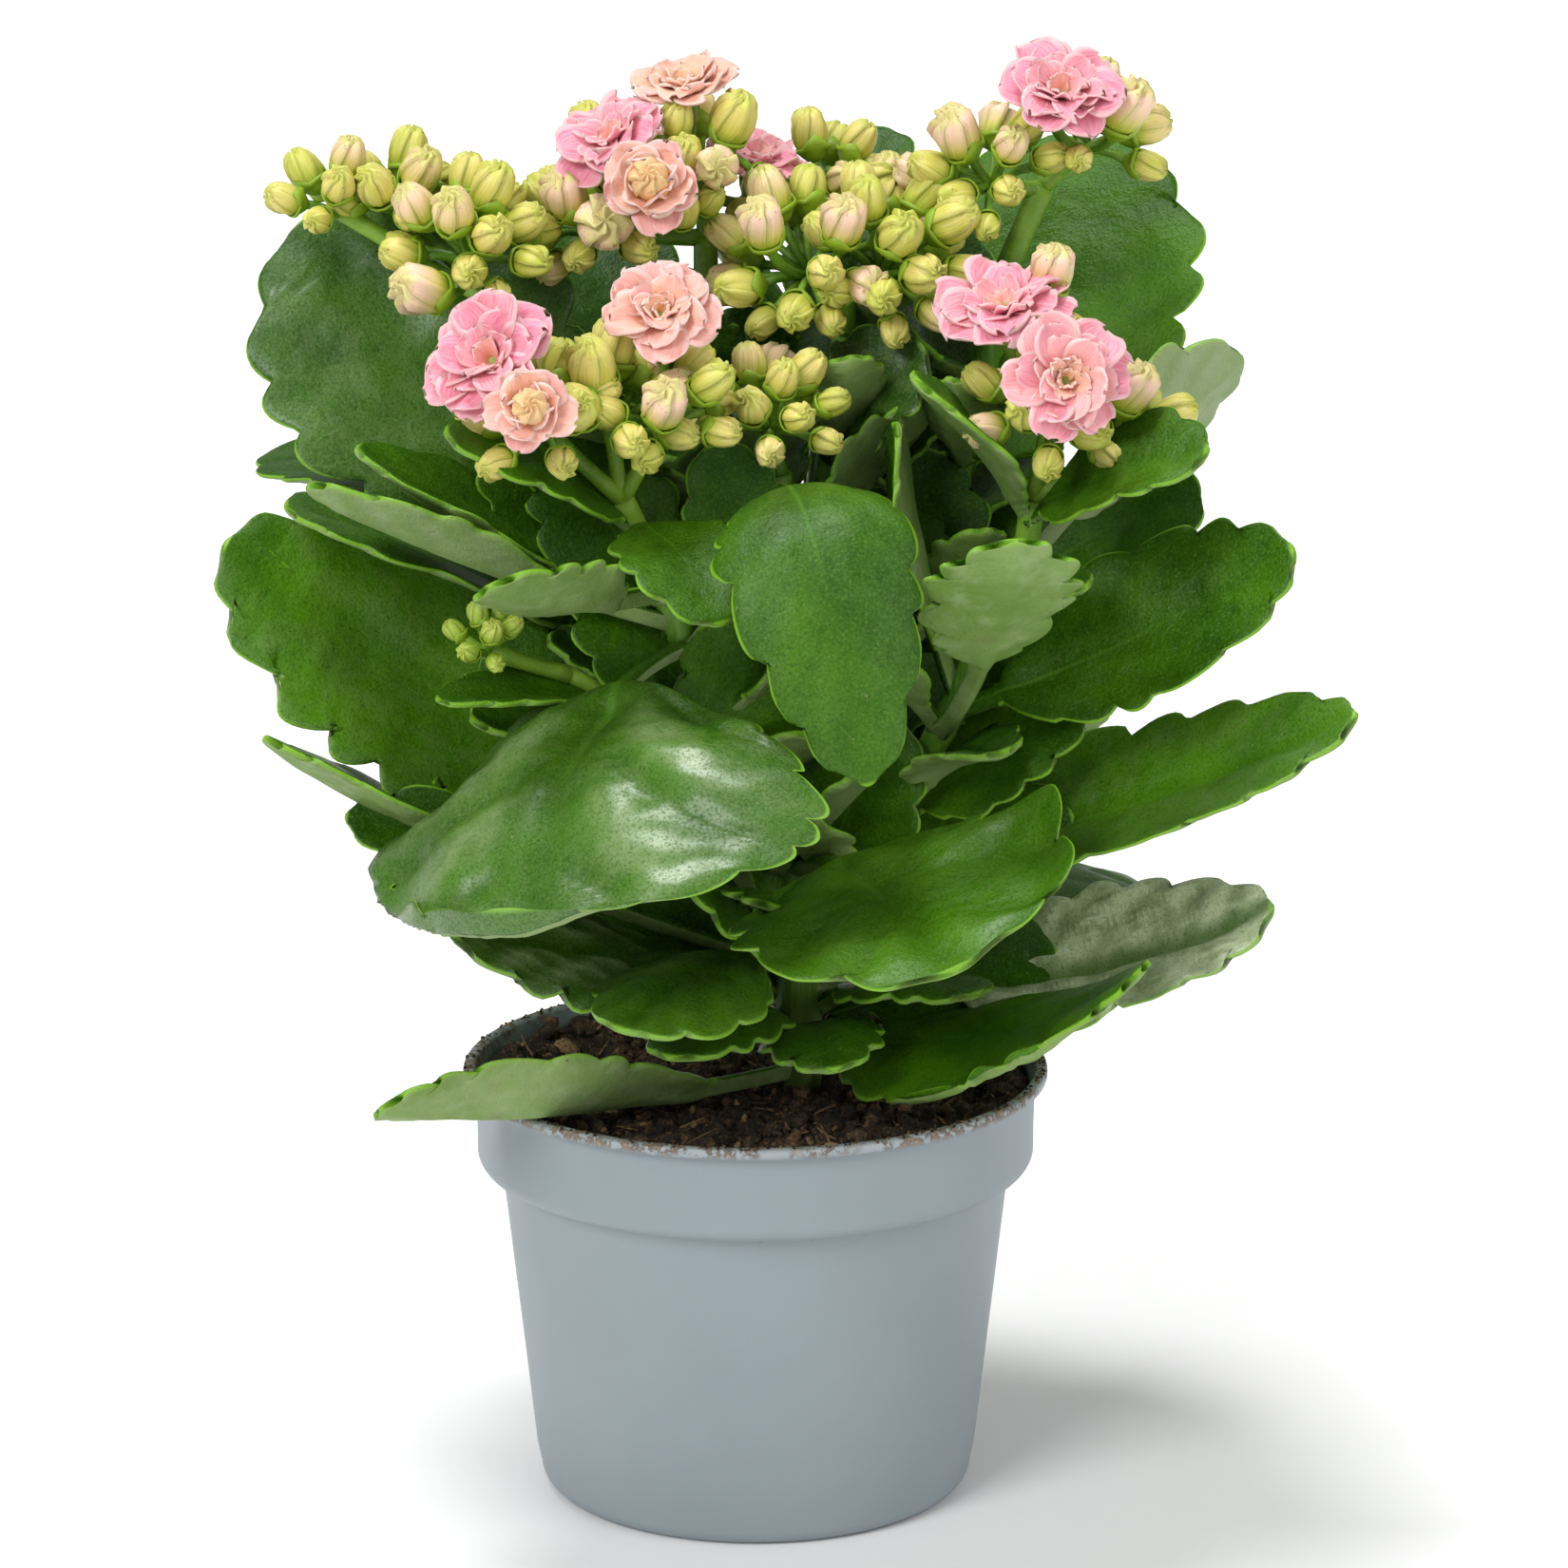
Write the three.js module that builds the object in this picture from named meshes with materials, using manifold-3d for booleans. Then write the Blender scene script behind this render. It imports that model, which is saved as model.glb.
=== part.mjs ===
// A flaming katy (Kalanchoe blossfeldiana) with double pink flowers, growing in a grey plastic nursery pot.
// Millimetres, +Z up. The origin is the centre of the pot's flat underside, and -Y is the plant's front.
import * as THREE from 'three';
import { mergeVertices } from 'three/addons/utils/BufferGeometryUtils.js';
import Module from 'manifold-3d';

const wasm = await Module();
wasm.setup();

// Driving dimensions of the pot and its soil
const POT_HEIGHT = 89;
const RIM_RADIUS = 60;
const LIP_HEIGHT = 2.2;
const COLLAR_TOP_RADIUS = 57.6;
const COLLAR_LOW_RADIUS = 57;
const COLLAR_BOTTOM = 68;
const BODY_TOP_RADIUS = 52.2;
const FOOT_RADIUS = 44.6;
const FOOT_ROUND = 4;
const WALL = 1.6;
const POT_SIDES = 28;
const DRAIN_HOLES = 5;
const DRAIN_RADIUS = 4;
const DRAIN_CIRCLE = 30;
const SOIL_EDGE = 81;
const SOIL_DOME = 2.5;
const SOIL_SIDES = 20;
const GAP = 0.3;

// Driving dimensions of the plant's small parts
const LEAF_THICK = 2;
const LEAF_EDGE_THICK = 1;
const PETIOLE_HALF = 2.1;
const PETIOLE_THICK = 3.4;
const STALK_RADIUS = 1.1;
const PETAL_THICK = 0.8;

const UP = new THREE.Vector3(0, 0, 1);
const V = (x, y, z) => new THREE.Vector3(x, y, z);
const at = ([x, y, z]) => V(x, y, z);
const mix = THREE.MathUtils.lerp;
const deg = THREE.MathUtils.degToRad;
const GOLDEN_TURN = Math.PI * (3 - Math.sqrt(5));

const plastic = new THREE.MeshStandardMaterial({ color: 0x97a4ab, roughness: 0.42, metalness: 0 });
const earth = new THREE.MeshStandardMaterial({ color: 0x2b1d14, roughness: 0.95, metalness: 0 });
const leafGreen = new THREE.MeshStandardMaterial({ color: 0x2f5f1e, roughness: 0.45, metalness: 0 });
const stemGreen = new THREE.MeshStandardMaterial({ color: 0x4d8a2a, roughness: 0.5, metalness: 0 });
const budYellow = new THREE.MeshStandardMaterial({ color: 0xc3c46a, roughness: 0.5, metalness: 0 });
const petalPink = new THREE.MeshStandardMaterial({ color: 0xf2a0ba, roughness: 0.6, metalness: 0 });
const petalPeach = new THREE.MeshStandardMaterial({ color: 0xf3bfa8, roughness: 0.6, metalness: 0 });

// A closed geometry as a solid that can be joined and cut.
function solid(geometry) {
  const bare = geometry.index ? geometry.toNonIndexed() : geometry.clone();
  bare.deleteAttribute('normal');
  bare.deleteAttribute('uv');
  const merged = mergeVertices(bare, 1e-3);
  return new wasm.Manifold(new wasm.Mesh({
    numProp: 3,
    vertProperties: merged.attributes.position.array,
    triVerts: new Uint32Array(merged.index.array),
  }));
}

// The largest body of a solid, without the loose scraps that a cut can leave.
function mainBody(made) {
  const bodies = made.decompose();
  return bodies.reduce((best, b) => (b.volume() > best.volume() ? b : best));
}

// A named mesh from a solid.
function part(name, made, material) {
  const data = mainBody(made).getMesh();
  const geometry = new THREE.BufferGeometry();
  geometry.setAttribute('position', new THREE.BufferAttribute(data.vertProperties, 3));
  geometry.setIndex(new THREE.BufferAttribute(data.triVerts, 1));
  geometry.computeVertexNormals();
  const mesh = new THREE.Mesh(geometry, material);
  mesh.name = name;
  return mesh;
}

// A lathe stands along Y, so this turns it to stand along +Z.
const upright = (geometry) => geometry.rotateX(Math.PI / 2);

// A small seeded generator, so that every build draws the same numbers.
function dice(seed) {
  let state = seed;
  return () => {
    state = (state * 1664525 + 1013904223) % 4294967296;
    return state / 4294967296;
  };
}

// The injection-moulded pot: one wall with a broad collar under the lip, and drain holes in the floor.
function potSolid() {
  const profile = [new THREE.Vector2(0, 0)];
  const foot = (a) => new THREE.Vector2(
    FOOT_RADIUS - FOOT_ROUND + FOOT_ROUND * Math.sin(a), FOOT_ROUND * (1 - Math.cos(a)));
  [0, 45, 90].forEach((a) => profile.push(foot(deg(a))));
  profile.push(new THREE.Vector2(BODY_TOP_RADIUS, COLLAR_BOTTOM));
  profile.push(new THREE.Vector2(BODY_TOP_RADIUS + 2.2, COLLAR_BOTTOM + 0.6));
  profile.push(new THREE.Vector2(COLLAR_LOW_RADIUS - 0.9, COLLAR_BOTTOM + 3));
  profile.push(new THREE.Vector2(COLLAR_LOW_RADIUS, COLLAR_BOTTOM + 6.5));
  profile.push(new THREE.Vector2(COLLAR_TOP_RADIUS, POT_HEIGHT - LIP_HEIGHT - 0.6));
  profile.push(new THREE.Vector2(RIM_RADIUS, POT_HEIGHT - LIP_HEIGHT));
  profile.push(new THREE.Vector2(RIM_RADIUS, POT_HEIGHT));
  profile.push(new THREE.Vector2(COLLAR_TOP_RADIUS - WALL, POT_HEIGHT));
  profile.push(new THREE.Vector2(COLLAR_LOW_RADIUS - WALL, COLLAR_BOTTOM + 6.5));
  profile.push(new THREE.Vector2(BODY_TOP_RADIUS - WALL, COLLAR_BOTTOM + 1));
  profile.push(new THREE.Vector2(FOOT_RADIUS - FOOT_ROUND, WALL));
  profile.push(new THREE.Vector2(0, WALL));
  let pot = solid(upright(new THREE.LatheGeometry(profile, POT_SIDES)));
  for (let k = 0; k < DRAIN_HOLES; k += 1) {
    const turn = (2 * Math.PI * k) / DRAIN_HOLES;
    const drill = new THREE.CylinderGeometry(DRAIN_RADIUS, DRAIN_RADIUS, 4 * WALL, 8);
    upright(drill).translate(DRAIN_CIRCLE * Math.cos(turn), DRAIN_CIRCLE * Math.sin(turn), 0);
    pot = pot.subtract(solid(drill));
  }
  return pot;
}

// The potting soil fills the pot. Its top is a low dome that a formula makes lumpy.
function soilSolid() {
  const profile = [
    new THREE.Vector2(0, WALL + GAP),
    new THREE.Vector2(FOOT_RADIUS - FOOT_ROUND - 0.5, WALL + GAP),
    new THREE.Vector2(BODY_TOP_RADIUS - WALL - 0.8, COLLAR_BOTTOM + 1),
    new THREE.Vector2(COLLAR_LOW_RADIUS - WALL - 0.9, COLLAR_BOTTOM + 7.2),
    new THREE.Vector2(COLLAR_LOW_RADIUS - WALL - 0.7, SOIL_EDGE),
  ];
  [48, 39, 29, 19, 9].forEach((r) => profile.push(
    new THREE.Vector2(r, SOIL_EDGE + SOIL_DOME * (1 - (r / 56) ** 2))));
  profile.push(new THREE.Vector2(0, SOIL_EDGE + SOIL_DOME));
  const geometry = upright(new THREE.LatheGeometry(profile, SOIL_SIDES));
  const p = geometry.attributes.position;
  for (let i = 0; i < p.count; i += 1) {
    const [x, y, z] = [p.getX(i), p.getY(i), p.getZ(i)];
    if (z > SOIL_EDGE + 0.1) {
      p.setZ(i, z + 1.1 * Math.sin(0.31 * x + 1.7) * Math.cos(0.27 * y) + 0.8 * Math.sin(0.52 * y + 0.19 * x));
    }
  }
  const stem = stems.main;
  const hole = new THREE.CylinderGeometry(stem.radius + 0.9, stem.radius + 0.9, 60, 12);
  upright(hole).translate(stem.path[0].x, stem.path[0].y, stem.path[0].z + 30 - GAP);
  return solid(geometry).subtract(solid(hole));
}

// The main stem and its side branches: points on each one's axis, from its root to its top.
const stems = {
  main: { radius: 4.6, path: [[9, 2, 58], [9, 1, 100], [7, 0, 140], [5, -2, 178], [5, -6, 204]] },
  right: { radius: 3, path: [[9, 1, 104], [24, -7, 136], [42, -14, 172], [54, -18, 202]] },
  back_right: { radius: 2.8, path: [[9, 1, 114], [25, 12, 158], [41, 19, 208], [51, 22, 250]] },
  left: { radius: 3, path: [[8, 0, 110], [-2, -9, 146], [-13, -17, 178], [-19.5, -20, 197]] },
  back: { radius: 2.6, path: [[7, 0, 140], [11, 9, 180], [15, 14, 215], [18, 15, 238]] },
  back_left: { radius: 2.8, path: [[8, 0, 124], [-2, 13, 170], [-8, 22, 220], [-10, 25, 246]] },
  far_left: { radius: 2.8, path: [[8, 0, 118], [-16, 4, 156], [-36, 7, 200], [-47, 6, 236]] },
  far_back: { radius: 2.6, path: [[7, 0, 134], [10, 22, 178], [15, 36, 220], [19, 44, 250]] },
};
Object.values(stems).forEach((s) => {
  s.path = s.path.map(at);
  s.curve = new THREE.CatmullRomCurve3(s.path);
});

// A round rod along a curve.
function rod(curve, radius, sides, steps) {
  const turn = (k) => (2 * Math.PI * k) / sides;
  const section = new THREE.Shape(Array.from({ length: sides }, (_, k) => new THREE.Vector2(
    radius * Math.cos(turn(k)), radius * Math.sin(turn(k)))));
  return solid(new THREE.ExtrudeGeometry(section, { steps, extrudePath: curve, bevelEnabled: false }));
}

const straight = (a, b) => new THREE.LineCurve3(a, b);

function stemSolid(extra) {
  return Object.values(stems).map((s) => rod(s.curve, s.radius + extra, 6, 3)).reduce((a, b) => a.add(b));
}

// The point on a stem's axis at a height.
function onStem(name, height) {
  const { path, curve } = stems[name];
  const [low, high] = [path[0].z, path[path.length - 1].z];
  let t = (height - low) / (high - low);
  for (let k = 0; k < 6; k += 1) t += (height - curve.getPoint(THREE.MathUtils.clamp(t, 0, 1)).z) / (high - low);
  return curve.getPoint(THREE.MathUtils.clamp(t, 0, 1));
}

// Half the width of a blade at v, from 0 at its foot to 1 at its tip, as a share of half its greatest width.
function halfShare(v) {
  const widest = 0.46;
  return v < widest
    ? (1 - ((widest - v) / widest) ** 1.9) ** 0.72
    : Math.sqrt(Math.max(0, 1 - ((v - widest) / (1 - widest)) ** 2.3));
}

// The scalloped edge at an angle round the blade, from 0 at its foot to PI at its tip: how far along and how far out.
function edgePoint(angle, teeth, depth) {
  const [heart, first] = [0.44, 0.24 * Math.PI];
  const v = (1 - Math.cos(angle)) / 2;
  const phase = ((angle - first) / (Math.PI - first)) * (teeth + 0.5);
  const lobe = phase <= 0 ? 1 : Math.abs(Math.sin(Math.PI * phase)) ** 0.7;
  const shrink = 1 - depth * (1 - lobe) * Math.min(1, Math.max(0, phase) + 0.35);
  return { along: heart + (v - heart) * shrink, out: halfShare(v) * shrink };
}

// A fleshy leaf: stalk and blade follow one bowed midrib from the root to the tip.
// roll turns the upper face about the leaf's length, arch bows the midrib, cup lifts the sides and curl lifts the tip.
function leafSolid({ root, tip, petiole, width, roll, arch, cup, curl, columns = 2, fine = false }) {
  const along = tip.clone().sub(root).normalize();
  const face = UP.clone().addScaledVector(along, -along.z).normalize().applyAxisAngle(along, deg(roll));
  const bend = root.clone().lerp(tip, 0.5).addScaledVector(face, 2 * arch);
  const midrib = new THREE.QuadraticBezierCurve3(root, bend, tip);
  const length = midrib.getLength();
  const foot = petiole / length;
  const blade = length - petiole;
  const teeth = THREE.MathUtils.clamp(Math.round(blade / 15), 3, 4);
  const depth = mix(0.13, 0.08, THREE.MathUtils.clamp((blade - 25) / 60, 0, 1));
  const point = (s, t) => {
    const k = THREE.MathUtils.clamp(s, 0, 1);
    const forward = midrib.getTangent(k);
    const up = face.clone().addScaledVector(forward, -face.dot(forward)).normalize();
    const side = new THREE.Vector3().crossVectors(forward, up);
    const v = Math.max(0, (s - foot) / (1 - foot));
    const q = t / (width / 2);
    const lift = cup * q * q + curl * v ** 3 + 0.022 * width * q * q * Math.sin(9 * v + 2 * Math.sign(t));
    return { place: midrib.getPoint(k).addScaledVector(side, t).addScaledVector(up, lift), up };
  };
  // Each row holds how far along its middle and edge are, how far out the edge is, and its thickness.
  const rows = [
    { middle: 0, edge: 0, out: PETIOLE_HALF, thick: PETIOLE_THICK },
    { middle: foot, edge: foot, out: PETIOLE_HALF, thick: PETIOLE_THICK },
  ];
  const first = 0.24 * Math.PI;
  const angles = [];
  const steps = fine ? [0, 0.25, 0.75] : [0, 0.5];
  for (let lobe = 0; lobe <= teeth; lobe += 1) {
    steps.filter((f) => lobe < teeth || f < 0.5).forEach((f) => {
      angles.push(first + ((Math.PI - first) * (lobe + f)) / (teeth + 0.5));
    });
  }
  angles.push(Math.PI);
  angles.forEach((angle) => {
    const e = edgePoint(angle, teeth, depth);
    const last = rows[rows.length - 1];
    const v = (1 - Math.cos(angle)) / 2;
    rows.push({
      middle: Math.max(last.middle + 0.004, foot + (1 - foot) * v),
      edge: Math.max(last.edge + 0.004, foot + (1 - foot) * e.along),
      out: Math.max(0.8, (width / 2) * e.out),
      thick: LEAF_THICK,
    });
  });
  // The same cells on both faces, so that a waved blade never crosses itself.
  const corners = [];
  rows.forEach((row) => {
    for (let j = -columns / 2; j <= columns / 2; j += 1) {
      const q = (2 * j) / columns;
      const s = mix(row.middle, row.edge, Math.abs(q));
      const thick = mix(row.thick, Math.min(row.thick, LEAF_EDGE_THICK), q * q);
      const { place, up } = point(s, q * row.out);
      corners.push(place.clone().addScaledVector(up, thick / 2), place.clone().addScaledVector(up, -thick / 2));
    }
  });
  return solid(shell(corners, rows.length, columns + 1));
}

// A closed geometry from rows of upper and lower corners.
function shell(corners, rows, across) {
  const index = [];
  const id = (i, j, lower) => 2 * (i * across + j) + lower;
  const quad = (a, b, c, d) => index.push(a, b, c, a, c, d);
  for (let i = 0; i < rows - 1; i += 1) {
    for (let j = 0; j < across - 1; j += 1) {
      quad(id(i, j, 0), id(i, j + 1, 0), id(i + 1, j + 1, 0), id(i + 1, j, 0));
      index.push(id(i, j, 1), id(i + 1, j + 1, 1), id(i, j + 1, 1), id(i, j, 1), id(i + 1, j, 1), id(i + 1, j + 1, 1));
    }
    quad(id(i, 0, 0), id(i + 1, 0, 0), id(i + 1, 0, 1), id(i, 0, 1));
    quad(id(i, across - 1, 1), id(i + 1, across - 1, 1), id(i + 1, across - 1, 0), id(i, across - 1, 0));
  }
  for (let j = 0; j < across - 1; j += 1) {
    quad(id(0, j, 0), id(0, j, 1), id(0, j + 1, 1), id(0, j + 1, 0));
    quad(id(rows - 1, j, 1), id(rows - 1, j, 0), id(rows - 1, j + 1, 0), id(rows - 1, j + 1, 1));
  }
  return closed(corners, index);
}

// A geometry from its corners and its triangles.
function closed(corners, index) {
  const geometry = new THREE.BufferGeometry();
  geometry.setAttribute('position', new THREE.Float32BufferAttribute(corners.flatMap((c) => [c.x, c.y, c.z]), 3));
  geometry.setIndex(index);
  return geometry;
}

// The large leaves. Each row: name, stem, height of its root, tip, petiole, width, roll, arch, cup, curl.
const leaves = [
  ['leaf_front_1', 'left', 181, [-36, -85, 138], 24, 92, 0, 13, -17, 8],
  ['leaf_front_2', 'main', 130, [41, -82, 131], 34, 72, 32, 11, 4, 0],
  ['leaf_front_3', 'main', 200, [22, -73, 166], 30, 36, 12, 36, -4, 0],
  ['leaf_front_4', 'right', 162, [50, -64, 212], 36, 31, 0, -5, 2, 0],
  ['leaf_front_5', 'left', 193, [-50, -68, 204], 18, 26, 28, -3, 3, 0],
  ['leaf_front_6', 'main', 146, [-56, -31, 169], 34, 28, -10, 0, 3, 0],
  ['leaf_front_7', 'main', 108, [-26, -62, 114], 26, 34, -8, 8, -3, 0],
  ['leaf_right_1', 'right', 168, [106, -30, 206], 10, 44, 50, -4, 4, 0],
  ['leaf_right_2', 'main', 122, [118, -46, 176], 30, 44, 36, -9, 5, 0],
  ['leaf_right_3', 'main', 112, [104, -16, 130], 34, 46, 20, -5, 4, 0],
  ['leaf_right_4', 'main', 92, [77, -62, 122], 20, 46, 14, -8, -3, 4],
  ['leaf_right_5', 'back_right', 196, [81, 56, 272], 16, 72, 22, 5, 4, 0],
  ['leaf_right_6', 'right', 194, [98, 8, 232], 18, 34, -58, 3, 3, 0],
  ['leaf_right_7', 'back_right', 166, [92, 14, 208], 22, 42, 40, 4, 3, 0],
  ['leaf_right_8', 'main', 134, [72, 8, 161], 24, 36, -26, -3, 3, 0],
  ['leaf_left_1', 'main', 128, [-108, -2, 201], 44, 54, -50, -6, 4, 0],
  ['leaf_left_2', 'main', 112, [-96, -30, 167], 40, 38, 6, -3, 5, 0],
  ['leaf_left_3', 'left', 186, [-87, -36, 217], 24, 28, 20, -2, 3, 0],
  ['leaf_left_4', 'far_left', 170, [-94, -6, 207], 18, 38, -10, 4, 3, 0],
  ['leaf_left_5', 'left', 190, [-79, -12, 220], 18, 34, 0, -3, 5, 0],
  ['leaf_left_6', 'main', 96, [-60, -38, 130], 26, 40, -20, 5, -3, 0],
  ['leaf_left_7', 'far_left', 196, [-87, 32, 260], 12, 64, -56, 5, 4, 0],
  ['leaf_left_8', 'far_left', 194, [-98, 60, 208], 20, 40, -10, 5, 4, 0],
  ['leaf_left_9', 'main', 93, [-74, -64, 98], 30, 38, 24, 4, 3, 0],
  ['leaf_inner_1', 'main', 184, [36, 6, 226], 12, 36, -36, 2, 3, 0],
  ['leaf_inner_2', 'right', 168, [28, -12, 225], 12, 34, 10, 2, 3, 0],
  ['leaf_inner_3', 'back_left', 208, [-42, 52, 254], 14, 38, -20, 4, 3, 0],
  ['leaf_inner_4', 'back_right', 196, [34, 42, 266], 14, 30, 0, 2, 3, 0],
  ['leaf_inner_5', 'far_back', 218, [26, 84, 270], 14, 32, 0, 3, 3, 0],
  ['leaf_back_1', 'main', 106, [78, 60, 112], 32, 56, 0, 10, -5, 0],
  ['leaf_back_2', 'main', 128, [4, 94, 120], 32, 60, 0, 14, -8, 0],
  ['leaf_back_3', 'main', 104, [-62, 62, 104], 32, 56, 0, 11, -5, 0],
  ['leaf_back_4', 'far_back', 162, [46, 84, 160], 18, 56, 0, 12, -7, 0],
  ['leaf_back_5', 'back_left', 160, [-42, 80, 156], 20, 56, 0, 12, -7, 0],
  ['leaf_back_6', 'far_back', 200, [4, 88, 224], 14, 50, 0, 8, -3, 0],
  ['leaf_back_7', 'back_right', 176, [90, 50, 188], 18, 46, 10, 8, 4, 0],
];

function leafOf([, stem, height, tip, petiole, width, roll, arch, cup, curl]) {
  return leafSolid({
    root: onStem(stem, height), tip: at(tip), petiole, width, roll, arch, cup, curl,
    columns: width > 80 ? 4 : 2, fine: width > 80,
  });
}

// A closed bud on its own stalk, standing along +Y from its root. The stalk has three sides and the bud six.
function budGeometry(stalk, size) {
  const ring = (count, radius, height) => Array.from({ length: count }, (_, k) => V(
    radius * Math.cos((2 * Math.PI * k) / count), height, -radius * Math.sin((2 * Math.PI * k) / count)));
  const corners = [
    ...ring(3, STALK_RADIUS, 1.6),
    ...ring(3, STALK_RADIUS, stalk - 0.6),
    ...ring(6, 0.47 * size, stalk + 0.3 * size),
    ...ring(6, 0.38 * size, stalk + 0.85 * size),
    V(0, stalk + 1.1 * size, 0),
  ];
  const index = [0, 2, 1];
  for (let k = 0; k < 3; k += 1) {
    const next = (k + 1) % 3;
    const [left, middle, right] = [6 + 2 * k, 7 + 2 * k, 6 + 2 * next];
    index.push(k, next, 3 + next, k, 3 + next, 3 + k);
    index.push(3 + k, 3 + next, middle, 3 + k, middle, left, 3 + next, right, middle);
  }
  for (let j = 0; j < 6; j += 1) {
    const next = (j + 1) % 6;
    index.push(6 + j, 6 + next, 12 + next, 6 + j, 12 + next, 12 + j, 12 + j, 12 + next, 18);
  }
  return closed(corners, index);
}

// Places a geometry made along +Y so that it stands at a point and looks along a direction.
function stand(geometry, place, direction) {
  const turn = new THREE.Quaternion().setFromUnitVectors(V(0, 1, 0), direction.clone().normalize());
  return geometry.applyQuaternion(turn).translate(place.x, place.y, place.z);
}

// The open flowers. Each row: name, centre, the way it faces, radius, how far its outer petals rise, peach or pink.
const blooms = [
  ['bloom_1', [-14, 22, 290], [-0.1, -0.15, 1], 11, 38, 'peach'],
  ['bloom_2', [-28, 12, 277], [-0.35, -0.6, 0.7], 12.5, 20, 'pink'],
  ['bloom_3', [-20, 0, 266], [-0.1, -0.9, 0.35], 11, 45, 'peach'],
  ['bloom_4', [-50, -40, 242], [-0.35, -0.75, 0.5], 14, 18, 'pink'],
  ['bloom_5', [-43, -52, 229], [0, -1, 0.2], 10, 50, 'peach'],
  ['bloom_6', [-17, -24, 244], [0, -0.75, 0.65], 12, 30, 'peach'],
  ['bloom_7', [61, 12, 286], [0.1, -0.6, 0.8], 13, 20, 'pink'],
  ['bloom_8', [49, -20, 248], [-0.15, -0.5, 0.85], 14, 18, 'pink'],
  ['bloom_9', [61, -42, 235], [0.1, -0.9, 0.4], 14, 24, 'pink'],
  ['bloom_10', [0, 28, 270], [0.2, -0.3, 0.9], 10, 30, 'pink'],
];

// One petal along +X, widest near its end, rising from the flower's middle by an angle.
function petal(radius, share, rise, turn, wide) {
  const reach = radius * share;
  const half = wide * reach * Math.cos(rise);
  const rows = [[0.1, 0.16, 0], [0.62, 1, 0.07], [1, 0.6, -0.06]];
  const corners = [];
  const frame = new THREE.Matrix4().makeRotationY(turn).multiply(new THREE.Matrix4().makeRotationZ(rise))
    .multiply(new THREE.Matrix4().makeRotationX(deg(14)));
  rows.forEach(([s, w, lift]) => {
    [-1, 1].forEach((j) => {
      [0.5, -0.5].forEach((k) => {
        corners.push(V(s * reach, lift * reach + k * PETAL_THICK, j * w * half).applyMatrix4(frame));
      });
    });
  });
  return solid(shell(corners, rows.length, 2));
}

// A double flower along +Y: a calyx tube, two whorls of petals and a closed middle.
function bloomSolid(radius, rise) {
  const core = [[0, -6.5], [1.6, -6], [2.3, -2], [0.32 * radius, 0.8], [0, 4.2]];
  let made = solid(new THREE.LatheGeometry(core.map(([r, y]) => new THREE.Vector2(r, y)), 5));
  [[5, 1, rise, 0, 0.36], [4, 0.68, Math.min(62, rise + 26), 0.5, 0.45]].forEach(([count, share, lift, shift, wide]) => {
    for (let k = 0; k < count; k += 1) {
      made = made.add(petal(radius, share, deg(lift), deg(18) + (2 * Math.PI * (k + shift)) / count, wide));
    }
  });
  return made;
}

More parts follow.
